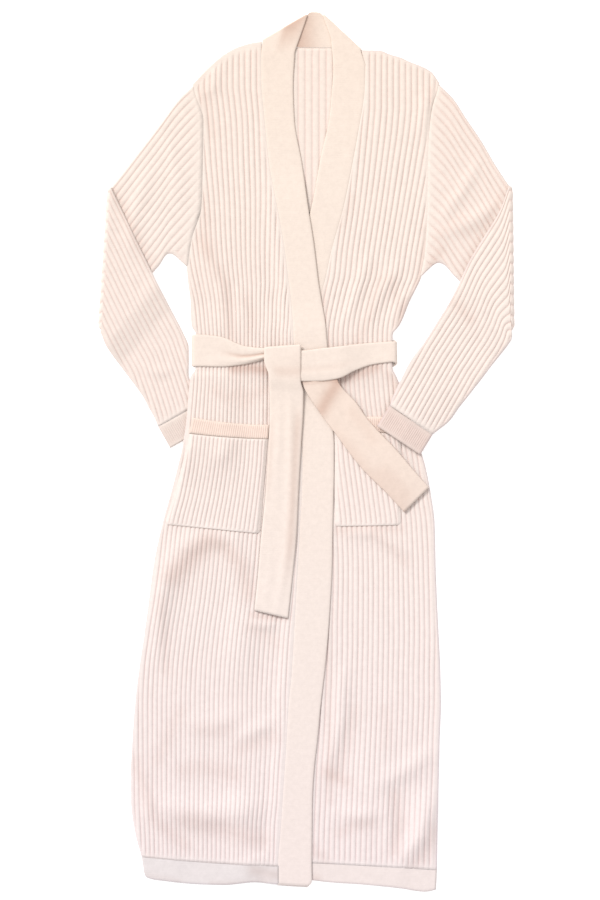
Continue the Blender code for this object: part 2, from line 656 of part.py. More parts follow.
class RingLine:
    """A sleeve's cross-section: a line from its top edge to its underarm edge."""

    def __init__(self, points, heights, across, turn=None, pitch=SLEEVE_PITCH, grain=0.0):
        self.points = points
        self.heights = heights
        self.pitch = pitch
        self.grain = grain
        start = points[0]
        self.reach = [(p[0] - start[0]) * across[0] + (p[1] - start[1]) * across[1]
                      for p in points]
        self.width = self.reach[-1]
        self.turn = turn

    def place(self, d, h):
        """The point at distance d from the top edge, h above the middle."""
        x = along(list(zip(self.reach, (p[0] for p in self.points))), d)
        y = along(list(zip(self.reach, (p[1] for p in self.points))), d)
        if self.turn is None:
            share = [(0, self.heights[0]), (0.5, self.heights[1]), (1, self.heights[2])]
            return (x, y, along(share, d / self.width) + h)
        angle, outward = self.turn
        radius = SLEEVE_TURN - h
        swing = radius * math.sin(angle)
        return (x + outward[0] * swing, y + outward[1] * swing,
                FLAT + SLEEVE_TURN - radius * math.cos(angle))


def unit(x, y):
    size = math.hypot(x, y)
    return (x / size, y / size)


def first_rib(line, start, end, across):
    """Where the ribs are counted from on a ring whose top edge lies inside the sleeve's own.

    The sleeve's own edge, in part under the body, runs straight from start to end.
    """
    (ax, ay), (bx, by) = line
    along_x, along_y = end[0] - start[0], end[1] - start[1]
    size = (bx - ax) * along_y - (by - ay) * along_x
    share = ((start[0] - ax) * along_y - (start[1] - ay) * along_x) / size
    return share * ((bx - ax) * across[0] + (by - ay) * across[1])


def sleeve_rings(armhole, upper, elbow, forearm, cuff_end):
    """All the rings of a sleeve: a line, the ribs of its two sides, and which way is up.

    Past the elbow turn the sleeve's front side faces down.
    """
    top = armhole[0]
    fold_top, fold_low = elbow
    arm = unit(fold_top[0] - top[0], fold_top[1] - top[1])
    inward = 1 if top[0] < 0 else -1
    across = (-arm[1] * inward, arm[0] * inward)
    crease = unit(fold_low[0] - fold_top[0], fold_low[1] - fold_top[1])
    outward = (crease[1] * inward, -crease[0] * inward)
    rings = [(RingLine(armhole, (FLAT, FLAT, FLAT), across), RIB, 0, 1)]
    for r in upper:
        line = [(r.top_x, r.top_y), (r.low_x, r.low_y)]
        rings.append((RingLine(line, (r.z_top, r.z_mid, r.z_low), across), RIB, 0, 1))
    for step in range(5):
        angle = math.pi * step / 4
        pitch = FOREARM_PITCH if step > 1 else SLEEVE_PITCH
        line = RingLine([fold_top, fold_low], None, across, (angle, outward), pitch)
        rings.append((line, 0, RIB if step > 1 else 0, 1))
    down = unit(forearm[2].top_x - fold_top[0], forearm[2].top_y - fold_top[1])
    across = (down[1] * inward, -down[0] * inward)
    for index, r in enumerate(forearm):
        line = [(r.top_x, r.top_y), (r.low_x, r.low_y)]
        grain = 0.0
        if index > FULL_RING:
            grain = first_rib(line, forearm[FULL_RING][:2], cuff_end[:2], across)
        z = (r.z_top, r.z_mid, r.z_low)
        rings.append((RingLine(line, z, across, None, FOREARM_PITCH, grain), 0, RIB, -1))
    return rings


SLEEVE_INSET = EDGE + KNIT / 2       # from a sleeve's edge to its hollow


def ring_columns(line, rib, shares):
    """(key, distance, height) across one side of a ring, the edges rounded off."""
    half = KNIT + GAP / 2
    width = line.width
    if rib:
        step = line.pitch / 2
        first = math.ceil((EDGE + 1.5 - line.grain) / step)
        last = math.floor((width - EDGE - 1.5 - line.grain) / step)
        middle = [(k, line.grain + k * step, half + (rib if k % 2 == 0 else 0))
                  for k in range(first, last + 1)]
    else:
        room = width - 2 * SLEEVE_INSET
        middle = [(s, SLEEVE_INSET + room * s, half) for s in shares[1:-1]]
    ends = [(-1e6, 0.0, 0.4), (-1e5, EDGE, half)], [(1e5, width - EDGE, half), (1e6, width, 0.4)]
    return ends[0] + middle + ends[1]


SideRow = namedtuple("SideRow", "by_key by_share ribbed")


def tube(rings, shares):
    """A flattened tube with open ends: two outer sides, and two plain inner sides.

    The inner sides have their points at these shares of the width.
    """
    cloth = Cloth()
    outer = [[], []]
    inner = [[], []]
    for line, front_rib, back_rib, flip in rings:
        for side, sign, rib in ((0, flip, front_rib), (1, -flip, back_rib)):
            columns = ring_columns(line, rib, shares)
            row = cloth.row([(k, *line.place(d, sign * h)) for k, d, h in columns])
            by_share = [(column[1] / line.width, index)
                        for column, (_, index) in zip(columns, row)]
            outer[side].append(SideRow(row, by_share, rib > 0))
            room = line.width - 2 * SLEEVE_INSET
            inner[side].append(cloth.row(
                [(s, *line.place(SLEEVE_INSET + room * s, sign * GAP / 2)) for s in shares]))
    for side in (0, 1):
        for a, b in zip(outer[side], outer[side][1:]):
            if a.ribbed == b.ribbed:
                cloth.stitch(a.by_key, b.by_key)
            else:
                cloth.stitch(a.by_share, b.by_share)
        for a, b in zip(inner[side], inner[side][1:]):
            cloth.stitch(a, b)
        for end in (0, -1):
            cloth.stitch(outer[side][end].by_share, inner[side][end])
    front, back = ([row.by_key for row in stack] for stack in outer)
    cloth.close_sides(front, back)
    cloth.close_sides(*inner)
    for end in (0, -1):
        for edge in (0, -1):
            cloth.faces.append((front[end][edge][1], inner[0][end][edge][1],
                                inner[1][end][edge][1], back[end][edge][1]))
    return cloth


def make_sleeve(side, courses, shoulder_y, upper, elbow, forearm, cuff_end):
    outward = -1 if side == "right" else 1
    armhole = [(c.side + outward * SEAM, c.y_side) for c in courses[UNDERARM:]]
    armhole = [(armhole[-1][0], shoulder_y)] + armhole[::-1]
    rings = sleeve_rings(armhole, upper, elbow, forearm, cuff_end)
    room = rings[0][0].width - 2 * SLEEVE_INSET
    shares = [(d - SLEEVE_INSET) / room for d in rings[0][0].reach]
    shares = [0.0] + [share for share in shares if 0.003 < share < 0.997] + [1.0]
    tube(rings, shares).make(side + "_sleeve", BLUSH)
    last, end = forearm[-1], cuff_end
    seam = unit(end.top_x - last.top_x, end.top_y - last.top_y)
    cuff = []
    for r, shift in ((last, SEAM), (end, 0)):
        line = [(r.top_x + seam[0] * shift, r.top_y + seam[1] * shift),
                (r.low_x + seam[0] * shift, r.low_y + seam[1] * shift)]
        chord = unit(line[1][0] - line[0][0], line[1][1] - line[0][1])
        z = (r.z_top, r.z_mid, r.z_low)
        cuff.append((RingLine(line, z, chord, None, FINE_PITCH), 0, FINE_RIB, -1))
    tube(cuff, (0.0, 0.5, 1.0)).make(side + "_cuff", BLUSH_PLAIN)


class Section:
    """A cross-section of a ribbon: its two edges and the direction that is up for it."""

    def __init__(self, a, b, up=(0, 0, 1), fold=0.0):
        self.a = a
        self.b = b
        self.up = up
        self.fold = fold


def ribbon(name, sections, thickness=BAND, colour=BLUSH_PLAIN, creased=False):
    """A flat strip with rounded edges, through sections that give its underside."""
    cloth = Cloth()
    loops = []
    for s in sections:
        width = math.dist(s.a, s.b)
        e = EDGE / width
        bottom = [(e, 0.0), (1 - e, 0.0)]
        top = [(1 - e, thickness), (e, thickness)]
        if creased:
            bottom = [(e, 0.0), (0.45, 0.0), (0.72, s.fold), (1 - e, 0.0)]
            top = [(1 - e, thickness), (0.72, thickness + s.fold), (0.45, thickness),
                   (e, thickness)]
        profile = bottom + [(1.0, thickness / 2)] + top + [(0.0, thickness / 2)]
        points = []
        for t, h in profile:
            points.append(tuple(a + (b - a) * t + u * h for a, b, u in zip(s.a, s.b, s.up)))
        loops.append([index for _, index in cloth.row([(0, *p) for p in points])])
    join_loops(cloth, loops)
    return cloth.make(name, colour)


def turned(line, outward, radius, centre, angle, half):
    """A section on a roll about a level line; the angle runs from below to above."""
    sideways, upright = math.sin(angle), -math.cos(angle)
    shift = (radius + half) * sideways
    z = centre + (radius + half) * upright
    a, b = [(p[0] + outward[0] * shift, p[1] + outward[1] * shift, z) for p in line]
    up = (-outward[0] * sideways, -outward[1] * sideways, -upright)
    return Section(a, b, up)


def make_front_band():
    """One long strip: up the right front, round the neck, down the left front."""
    half = BAND / 2

    def face_down(s):
        z = s.under + lift(0, s.seam_y) + BAND
        return Section((s.seam_x, s.seam_y, z), (s.free_x, s.free_y, z), (0, 0, -1))

    def roll(line, outward, angles):
        return [turned(line, outward, TURN_RADIUS, half + TURN_RADIUS, a, half) for a in angles]

    def outward_of(line, sign):
        d = unit(line[1][0] - line[0][0], line[1][1] - line[0][1])
        return (-d[1] * sign, d[0] * sign)

    steps = [math.pi * k / 4 for k in range(5)]
    sections = [face_down(s) for s in LAPPING_BAND]
    sections += roll(RIGHT_TURN, outward_of(RIGHT_TURN, 1), steps[::-1])
    sections += [Section((s.seam_x, s.seam_y, 0), (s.free_x, s.free_y, 0)) for s in NECK_BAND]
    sections += roll(LEFT_TURN, outward_of(LEFT_TURN, -1), steps)
    sections += [face_down(s) for s in LAPPED_BAND]
    ribbon("front_band", sections)


def belt_turn(x, direction, edges, low_edges):
    """The belt's way round a side edge, from the front down to the surface."""
    half = BAND / 2
    radius = (BELT_UNDER + BAND - half - half) / 2
    centre = half + radius
    sections = []
    for k in range(5):
        angle = math.pi * (1 - k / 4)
        line = [(x, y + (low - y) * k / 4) for y, low in zip(edges, low_edges)]
        sections.append(turned(line, (direction, 0), radius, centre, angle, half))
    return sections


def make_belt():
    """The belt: behind the back, round both sides, to the knot, and its two ends."""
    def face_down(s):
        z = s.under + BAND
        return Section((s.x, s.y_top, z), (s.x, s.y_bottom, z), (0, 0, -1), -s.fold)

    left_x, right_x = BELT_TURN_X
    stretch = [face_down(s) for s in BELT_RIGHT_STRETCH][::-1]
    first = BELT_RIGHT_STRETCH[0]
    stretch += belt_turn(left_x, -1, (first.y_top, first.y_bottom), BELT_BACK[0])
    ribbon("belt_right_stretch", stretch, creased=True)
    stretch = [face_down(s) for s in BELT_LEFT_STRETCH]
    last = BELT_LEFT_STRETCH[-1]
    stretch += belt_turn(right_x, 1, (last.y_top, last.y_bottom), BELT_BACK[1])
    ribbon("belt_left_stretch", stretch, creased=True)
    ends = zip((left_x + SEAM, right_x - SEAM), BELT_BACK)
    behind = [Section((x, top, 0), (x, bottom, 0)) for x, (top, bottom) in ends]
    ribbon("belt_back_stretch", behind, thickness=BAND - 0.2)

    def lying(s):
        return Section((s.x_a, s.y_a, s.under_a), (s.x_b, s.y_b, s.under_b))

    k = KNOT_ROLL
    edge = ((HANGING_END[0].x_a, k["y_a"]), (HANGING_END[0].x_b, k["y_b"]))
    half = BAND / 2
    wrap = []
    for step in range(1, 4):
        angle = math.pi * (0.5 + step / 6)
        section = turned(edge, (0, 1), k["radius"], k["centre"], angle, half)
        wrap.append(section)
    hanging = []
    for s in wrap:
        a = tuple(p + u * BAND for p, u in zip(s.a, s.up))
        b = tuple(p + u * BAND for p, u in zip(s.b, s.up))
        hanging.append(Section(a, b, tuple(-u for u in s.up)))
    hanging += [lying(s) for s in HANGING_END]
    ribbon("belt_hanging_end", hanging)
    ribbon("belt_slanted_end", [lying(s) for s in SLANTED_END])


def main():
    for old in list(bpy.data.objects):
        bpy.data.objects.remove(old, do_unlink=True)
    garment = bpy.data.collections.new(GARMENT)
    bpy.context.scene.collection.children.link(garment)
    make_back()
    make_fronts()
    make_hems()
    make_front_band()
    make_pocket("right", right_front_rows(), right_front_under, RIGHT_POCKET)
    make_pocket("left", left_front_rows(), left_front_under, LEFT_POCKET)
    make_sleeve("right", RIGHT_COURSES, 550, RIGHT_UPPER, RIGHT_ELBOW, RIGHT_FOREARM,
                RIGHT_CUFF_END)
    make_sleeve("left", LEFT_COURSES, 552, LEFT_UPPER, LEFT_ELBOW, LEFT_FOREARM, LEFT_CUFF_END)
    make_belt()


main()
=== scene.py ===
"""Looks of the rib-knit wrap dressing gown, laid flat and seen from straight above.

Lengths in the tables are millimetres. X runs to the viewer's right, Y up the garment from hem
to neck, and Z up from the surface that it lies on. "Right" and "left" in the names are the
wearer's, so the right front lies on the viewer's left and laps over the left front.
"""

import math
from collections import namedtuple

import bmesh
import bpy
import numpy as np
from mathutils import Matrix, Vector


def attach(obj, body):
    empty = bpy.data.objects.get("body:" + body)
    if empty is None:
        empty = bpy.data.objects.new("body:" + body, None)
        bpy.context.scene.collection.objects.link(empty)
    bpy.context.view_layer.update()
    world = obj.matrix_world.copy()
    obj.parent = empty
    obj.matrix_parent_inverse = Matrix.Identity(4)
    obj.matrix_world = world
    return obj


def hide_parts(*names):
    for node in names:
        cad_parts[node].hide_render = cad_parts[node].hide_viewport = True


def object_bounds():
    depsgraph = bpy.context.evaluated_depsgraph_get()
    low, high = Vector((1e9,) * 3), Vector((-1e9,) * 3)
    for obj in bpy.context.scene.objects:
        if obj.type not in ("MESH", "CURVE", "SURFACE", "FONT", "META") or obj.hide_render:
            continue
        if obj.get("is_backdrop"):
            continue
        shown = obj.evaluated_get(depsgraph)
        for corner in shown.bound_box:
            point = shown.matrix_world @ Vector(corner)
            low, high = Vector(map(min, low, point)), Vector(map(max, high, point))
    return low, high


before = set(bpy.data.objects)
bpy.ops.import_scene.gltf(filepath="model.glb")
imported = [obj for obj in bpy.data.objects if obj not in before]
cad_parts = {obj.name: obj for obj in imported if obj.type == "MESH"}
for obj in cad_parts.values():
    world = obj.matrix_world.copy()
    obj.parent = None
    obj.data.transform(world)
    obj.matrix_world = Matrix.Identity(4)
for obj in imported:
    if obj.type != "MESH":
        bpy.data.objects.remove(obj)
SOLID_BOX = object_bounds()
MM = 0.001

# Driving sizes of the cloth.
KNIT = 1.8            # wall of the body knit, between its ribs
RIB = 1.2             # height of a rib above that wall
RIB_DEPTH = 2.0       # from a rib's crest down into the groove beside it
SKIRT_DEPTH = 1.6     # the same low on the skirt, where the knit is stretched
SKIRT_END = 250.0     # height on the garment above which it no longer is
BACK_DEPTH = 1.0      # and on the cloth that lies flat
BAND = 2.4            # double knit of the front band and the belt
HALF_BAND = BAND / 2
SEAM = 0.4            # space between two pieces at a seam
GAP = 0.4             # space between two layers that lie on each other
TUCK_IN = 1.8         # how far a panel's edge is sewn in under the band beside it
ARMHOLE_TUCK = 2.4    # and a sleeve's edge under the front
PLAIN_EDGE = 2.4      # no ribs along a panel's edge, over this width
RIB_RISE = 3.5        # and they reach their full height over this one
ROUND = 3.2           # width of the rounding along the edge of a ribbed panel
BAND_ROUND = 2.4      # of a plain strip
TUBE_ROUND = 4.5      # and of a sleeve
EDGE_DROP = 0.85      # share of a strip's thickness that its outer side falls by at an edge
RIM = 4.0             # width of the painted edge shade, a greyer line along the garment's outline
# Strength of the painted edge shade on each side and on the hems; stronger on the left pieces, whose
# outer edges face away from the light.
RIM_SHADE_SHARE = dict(right=0.5, left=1.0)
HEM_RIM_SHADE_SHARE = 0.6
SLEEVE_DEPTH = dict(right=(1.3, 1.8), left=(2.4, 1.7))     # of the ribs, upper arm and forearm
SLEEVE_PITCH = 9.1    # rib spacing on the upper arms
FOREARM_PITCH = 7.4   # and on the forearms
FINE_PITCH = 3.1      # rib spacing on cuffs and pocket tops
FINE_RIB = 0.5
FINE_DEPTH = 0.75
BELT_LIFT = 2.6       # how much the belt behind the waist lifts the layers above it
CUFF_LIFT = 5.6       # how much the tucked right cuff lifts them
FRONT_UNDER = KNIT + GAP                    # underside of both fronts
CREST = KNIT + RIB                          # whole height of a ribbed wall
BAND_UNDER = FRONT_UNDER + BAND + 1.0       # underside of the lapping band
CLIMB_START, CLIMB_LENGTH = 25, 16          # the right front climbs to it, from its seam inward

# Spacing of the points.
COURSE_STEP = 4.5                           # rows of the fronts and the sleeves
BAND_STEP = 6.0                             # sections of the front band,
NECK_STEP = 5.0                             # behind the neck,
BELT_STEP = 4.0                             # of the belt
BELT_BACK_SECTIONS = 30                     # and of its stretch behind the waist
ROLL_STEPS = 8                              # and in each half turn of a strip
BACK_ROWS = 141
HEM_SECTIONS = 60
INNER_STEP = 6.0                            # points of a panel's inner side
INNER_POINTS = 25                           # and of a sleeve's
RIB_POINTS = (0.0, 0.25, 0.41, 0.5, 0.59, 0.75)     # points of one rib, from crest to crest
FINE_POINTS = (0.0, 0.25, 0.5, 0.75)
EDGE_POINTS = (0.0, 0.35, 1.1, 2.2)                 # and those next to a cloth edge
TUBE_EDGE = (0.0, 0.25, 0.9, 2.0)
STRIP_EDGE = (0.0, 0.35, 1.0)
SHOULDER_STEPS = (0.2, 0.4, 0.6, 0.78, 0.9, 0.97, 1.0)      # rows from the armhole's top up
BACK_STEPS = (0.3, 0.6, 0.8, 0.93, 1.0)
POCKET_STEPS = (0.0, 0.7, 1.8, 3.4, 5.5)                    # and from a pocket's foot
SEAM_STEPS = (2.5, 1.2, 0.4, 0.0)                           # and up to its seam
EDGE_KEY = 1e6        # keys of the points at an edge, past those of all ribs

# Heights between which a hidden layer lifts those above it.
WAIST = dict(low=92.0, full_low=125.0, full_high=176.0, high=226.0)
TUCK = dict(low=-60.0, full_low=10.0, full_high=113.0, high=125.0)
TUCK_END_X, TUCK_FULL_X = -84.0, -128.0

# Soft hollow folds: centre, reach both ways and height.
BILLOWS = (
    (-222, -222, 42, 82, 4.0), (-98, -290, 40, 95, 4.5), (-92, -560, 44, 90, 5.0),
    (97, -500, 55, 110, 5.0), (176, -560, 34, 80, 3.5),
)

# Soft ridges: three points along each, the half width and the height.
RIGHT_FOLDS = (
    (-202, -200, -186, -148, -148, -127, 18, 5.4),  # arch below the pocket
    (-151, -125, -110, -133, -86, -181, 15, 4.2),
    (-221, -532, -151, -544, -71, -535, 21, 7.2),  # low on the skirt
    (-98, -619, -56, -613, -14, -616, 14, 4.8),  # above the curl of the hem
    (-248, -475, -233, -545, -191, -616, 10, 3.0),  # at the side edge
    (-176, -406, -140, -409, -98, -397, 18, 3.0),  # middle of the skirt
    (-98, -430, -71, -415, -44, -406, 12, 3.6),
    (-83, -256, -65, -259, -44, -259, 9, 3.6),  # below the hanging end
    (-154, 308, -128, 254, -119, 190, 9, 3.6),  # from the underarm
    (-101, 242, -95, 215, -94, 195, 9, 2.4),
    (-134, 572, -137, 548, -158, 533, 10, 2.4),  # shoulder
    (-134, -16, -122, -1, -110, 17, 12, 2.4),  # hip
    (-206, -163, -218, -238, -224, -320, 10, 3.0),  # side
)
LEFT_FOLDS = (
    (55, -331, 52, -403, 34, -481, 12, 4.8),  # beside the band
    (59, -121, 104, -122, 145, -150, 10, 3.6),  # below the pocket
    (184, -523, 172, -575, 145, -615, 14, 7.2),  # at the side edge
    (190, -451, 149, -478, 112, -499, 15, 4.2), (52, -541, 79, -547, 106, -544, 12, 3.6),
    (118, -523, 124, -562, 124, -598, 10, 3.0),
    (94, 290, 76, 235, 61, 195, 9, 3.0),  # above the belt
    (136, 275, 112, 235, 96, 197, 10, 3.6), (163, 248, 142, 222, 130, 197, 9, 2.4),
    (187, 542, 178, 512, 172, 475, 10, 3.0),  # shoulder
)
RIGHT_SLEEVE_FOLDS = (
    (-236, 420, -258, 350, -262, 300, 12, 2.5),  # along the elbow fold
    (-250, 130, -225, 118, -196, 124, 8, 2.0), (-205, 470, -195, 420, -192, 370, 10, 2.0),
)
LEFT_SLEEVE_FOLDS = (
    (290, 372, 250, 345, 203, 325, 12, 3.5),  # from the elbow to the underarm
    (258, 430, 232, 385, 205, 350, 9, 2.5), (212, 272, 240, 240, 268, 215, 9, 2.5),
)

# Painted shade: darker lines in the depth of creases, and painted shadow where a layer meets the
# one under it: three points along each, the half width and how deep the tint is.
RIGHT_CREASES = (
    (-198, -186, -172, -158, -146, -136, 17, 0.26),  # arch below the pocket
    (-125, -140, -96, -168, -83, -215, 12, 0.18), (-217, -224, -212, -270, -208, -328, 9, 0.10),
    (-80, -245, -54, -249, -28, -247, 5, 0.22),  # below the hanging end
    (-80, -262, -62, -274, -46, -286, 12, 0.10), (-188, -388, -204, -425, -222, -463, 10, 0.10),
    (-158, -418, -130, -420, -120, -417, 12, 0.09), (-181, -478, -152, -473, -105, -485, 14, 0.12),
    (-98, -445, -70, -436, -46, -428, 12, 0.10), (-181, -553, -113, -568, -68, -583, 16, 0.16),
    (-256, -463, -226, -553, -181, -590, 10, 0.14), (-233, -613, -222, -626, -209, -635, 10, 0.14),
    (-143, -624, -80, -630, -12, -630, 7, 0.20),  # above the curl of the hem
    (-174, -20, -160, -34, -150, -50, 9, 0.06), (-158, 392, -150, 350, -146, 300, 10, 0.10),
    (-158, 317, -120, 250, -113, 175, 9, 0.13),  # from the underarm
    (-91, 227, -78, 200, -91, 167, 8, 0.08),
    (-158, 572, -148, 500, -140, 475, 10, 0.09),  # shoulder
    (-108, 125, -80, 125, -40, 119, 8, 0.50),  # below the belt
    (-134, 92, -118, 80, -96, 88, 9, 0.10), (-93, 70, -80, 84, -62, 92, 8, 0.10),
    (-60, 60, -58, 0, -61, -60, 5, 0.10),  # beside the hanging end
)
LEFT_CREASES = (
    (30, -148, 34, -340, 36, -523, 6, 0.12),  # along the lapping band
    (30, -480, 44, -488, 60, -495, 10, 0.16), (74, -388, 62, -442, 47, -486, 10, 0.10),
    (119, -388, 124, -415, 119, -440, 9, 0.08),
    (134, -515, 140, -560, 134, -598, 9, 0.16),  # spot and streak
    (52, -571, 74, -560, 97, -557, 10, 0.12), (2, -590, 22, -605, 37, -628, 9, 0.14),
    (194, -568, 182, -600, 157, -628, 10, 0.14),
    (44, -119, 92, -114, 142, -117, 7, 0.14),  # below the pocket
    (104, -125, 128, -143, 149, -166, 9, 0.10),
    (22, 317, 22, 255, 29, 167, 7, 0.16),  # along the lapping band's edge
    (67, 377, 50, 340, 37, 317, 10, 0.10),
    (187, 542, 195, 500, 197, 465, 10, 0.12),  # armhole
    (184, 335, 180, 295, 172, 255, 7, 0.26),  # underarm
    (168, 248, 155, 222, 140, 190, 6, 0.20), (127, 257, 142, 220, 149, 175, 9, 0.10),
    (112, 257, 92, 200, 74, 145, 9, 0.11),
    (46, 104, 74, 115, 106, 127, 9, 0.42),  # below the belt
    (125, 115, 133, 105, 137, 95, 7, 0.16),
    (127, 62, 160, 22, 187, -16, 9, 0.16),  # below the cuff
)
SLEEVE_CREASES = (
    (-286, 392, -260, 330, -233, 280, 9, 0.10),
    (199, 322, 218, 340, 237, 352, 8, 0.09),  # crumples of the left sleeve
    (237, 327, 258, 335, 279, 340, 8, 0.08), (203, 302, 193, 288, 186, 270, 7, 0.20),
    (212, 230, 232, 215, 248, 197, 9, 0.12),
)
HEM_CREASES = (
    (-76, -628, -52, -634, -30, -634, 11, 0.24), (-140, -648, -100, -648, -60, -645, 5, 0.12),
    (-236, -636, -215, -640, -190, -645, 6, 0.10), (4, -640, 10, -640, 16, -640, 8, 0.16),
)
SLANT_CREASES = (
    (48, 102, 36, 84, 24, 62, 10, 0.50), (72, 58, 88, 40, 100, 20, 9, 0.10),
    (118, -32, 136, -48, 150, -66, 12, 0.14),
)
BAND_CREASES = (
    (-13, 640, 0, 648, 12, 655, 9, 0.10),
    (-30, 150, -9, 130, 20, 112, 9, 0.20),  # below the knot
)

# One row of a front, from its side edge to the band: heights of its two ends and middle, its
# side edge, the rib that everything is counted from, and the rib spacing.
Course = namedtuple("Course", "y_side y_mid y_band side grain pitch")


def course(y, side, grain, pitch, y_side=None, y_band=None):
    """A course is level where a row of the table gives one height."""
    ends = [y if end is None else end for end in (y_side, y_band)]
    return Course(ends[0], y, ends[1], side, grain, pitch)


RIGHT_COURSES = [course(*row) for row in (
    (-617, -246, -143, 6.6, -608, -622),  # hem seam
    (-565, -257, -143, 6.7), (-523, -262, -142, 6.9), (-478, -262, -141, 7.0),
    (-433, -260, -140, 7.1), (-380, -256, -140, 7.1), (-328, -250, -138, 7.1),
    (-275, -242, -133, 7.0), (-223, -235, -126, 6.9), (-170, -228, -120, 6.8),
    (-119, -215, -115, 6.65, -109, -130),  # foot of the pocket
    (-62, -202, -106, 6.4), (-16, -190, -100, 6.2), (10, -184, -98, 6.1),
    (20, -181, -97, 6.05, 28, 19),  # foot of the pocket top
    (41, -178, -96, 6.0, 53, 43),  # mouth of the pocket
    (77, -176, -95, 5.9), (113, -172, -94, 5.8),
    (125, -164.3, -94, 5.8),  # belt, lower edge
    (176, -164.3, -94, 5.8),  # belt, upper edge
    (188, -171, -94, 5.9), (227, -173, -95, 6.2), (251, -176, -96, 6.6),
    (275, -178, -98, 6.9),  # underarm
    (316, -173, -100, 7.3), (367, -158, -101, 7.7), (431, -156, -104, 8.2), (496, -155, -107, 8.5),
    (527, -163, -110, 8.6), (547, -168.5, -112, 8.7, 543, 547),
    (580, -169.5, -112, 8.7, 549, 592),  # top of the armhole
)]
LEFT_COURSES = [course(*row) for row in (
    (-622, 197, 103, 7.9, -628, -617),  # hem seam
    (-565, 198, 104, 7.9), (-523, 199, 106, 7.9), (-478, 200, 108, 7.9), (-433, 201, 110, 7.8),
    (-380, 203, 112, 7.8), (-328, 202, 113, 7.7), (-275, 199.5, 114, 7.7), (-223, 197, 114, 7.6),
    (-170, 195, 113.5, 7.5),
    (-111, 193.5, 111, 7.5, -109, -112.5),  # foot of the pocket
    (-62, 187.5, 105, 7.4), (-16, 178, 99, 7.4), (10, 169.5, 96, 7.3), (28, 163.5, 93, 7.3),
    (52, 157, 90, 7.3),  # mouth of the pocket
    (77, 148.5, 87, 7.25), (113, 136, 84, 7.2), (125, 130.3, 83, 7.2), (176, 130.6, 83, 7.4),
    (188, 140, 84, 7.4), (227, 157, 92, 7.5), (251, 169, 99, 7.7),
    (260, 173, 102, 7.8),  # underarm
    (302, 181, 108, 8.0), (365, 184.5, 118, 8.2), (428, 185, 127, 8.6), (491, 187, 135, 9.0),
    (520, 191, 137, 9.0), (545, 198.8, 137, 9.0, 541, 545), (575, 200.5, 137, 9.0, 549, 581),
)]
# Numbers of some courses in both tables.
UNDERARM = 23         # where side seam and armhole meet
POCKET_FOOT = 10
POCKET_TOP_FOOT = 14
POCKET_MOUTH = 15
INNER_PITCH = 10.5    # ribs of the back, seen inside the neck
BACK_GRAIN = 5.0

# Shoulder and neck outline, left to right, and where each sleeve's armhole begins.
RIGHT_SHOULDER = [(-169.5, 550.5), (-152, 569), (-133, 587), (-122, 595.5), (-100, 607),
                  (-83, 612), (-69, 614.5)]
LEFT_SHOULDER = [(84.5, 602), (110, 601.5), (127, 595.5), (145, 590), (152, 586.5),
                 (188.5, 569.5), (200.5, 553)]
BACK_NECK = [(-65.5, 608), (-40, 608), (-13, 606), (15, 605.5), (41, 605.5), (82, 600)]
ARMHOLE_TOP = dict(right=550, left=552)

# The front band: seam edge, free edge and height of its underside.
BandSection = namedtuple("BandSection", "seam_x seam_y free_x free_y under")


def band(under, *rows):
    """Sections at one height; a row is x at both edges, and y at both or one y for both."""
    return [BandSection(row[0], row[2], row[1], row[-1], under) for row in rows]


LAPPING_BAND = band(
    BAND_UNDER,
    (-42, 3, -650, -653), (-42, 10, -641, -644), (-42, 9.5, -622), (-38, 10, -565), (-35, 10.5, -523),
    (-32, 13, -478), (-29, 18, -433), (-26, 23, -380), (-21, 29, -328), (-18, 34, -275),
    (-15, 37.5, -223), (-12, 40, -170), (-9, 41, -113), (-6, 42.3, -62), (-5, 43, -16), (-7, 43, 10),
    (-9, 41, 43), (-10, 39, 77), (-13, 37, 113), (-16, 36, 125), (-19, 31.5, 176), (-19.5, 30.5, 188),
    (-22.5, 24, 227), (-25.5, 20, 251), (-28.5, 17, 275), (-34, 12, 316)
) + band(5.4, (-43, 4, 367)) + band(
    FRONT_UNDER,
    (-55, -5, 431), (-62, -16.5, 496), (-65, -18, 527), (-66.8, -18.5, 547)
) + band(2.9, (-67.4, -16, 592, 599))
# Behind the neck, its inner face up.
NECK_BAND = band(
    0, (-40, 5.5, 608, 658), (-13, 10, 606, 659), (15, 16, 605.5, 659), (41, 22, 605.5, 658.2)
)
LAPPED_BAND = band(2.9, (90, 38, 581, 620)) + band(
    FRONT_UNDER,
    (89.6, 41.5, 545, 572), (87, 39, 520, 535), (82, 36, 491, 503), (70.5, 23, 428, 443),
    (57.5, 9.5, 365, 371), (40, -10, 302), (31, -19, 260), (23, -26, 227), (25.5, -24, 188),
    (27, -23, 176), (31.5, -18.5, 125), (32, -18, 113), (34.5, -15.5, 77), (37, -13, 43),
    (38, -12, 10), (38, -12, -16), (37.5, -12.5, -62), (37, -13, -113), (35, -15, -170),
    (33, -17, -223), (29, -21, -275), (25, -25, -328), (19.5, -30.5, -380), (14, -36, -433),
    (9, -41, -478), (7, -43, -523), (4.5, -45.5, -565), (4.5, -45.5, -622), (4.5, -45.5, -642)
)
# The band turns over at the neck along these lines, seam edge to free edge.
RIGHT_TURN = ((-64.5, 614.5), (3.0, 653.7))
LEFT_TURN = ((82.9, 600.8), (26.1, 654))
LEFT_NECK_CORNER = (85.1, 602)       # of the left front's edge, clear of the turn
TURN_RADIUS = 1.6

# Hem edges, left to right.
RIGHT_HEM_EDGE = [(-241.5, -635), (-238, -639), (-211, -644), (-158, -649), (-121, -650),
                  (-76, -646), (-44, -649)]
LEFT_HEM_EDGE = [(4, -642), (37, -646), (82, -649), (142, -655), (179, -660), (195.5, -657)]
HEM_KNIT = 2.3
HEM_TUCK = 1.5        # how far the hem strips reach up under the panels
BACK_HEM_SHORTER = 1.5

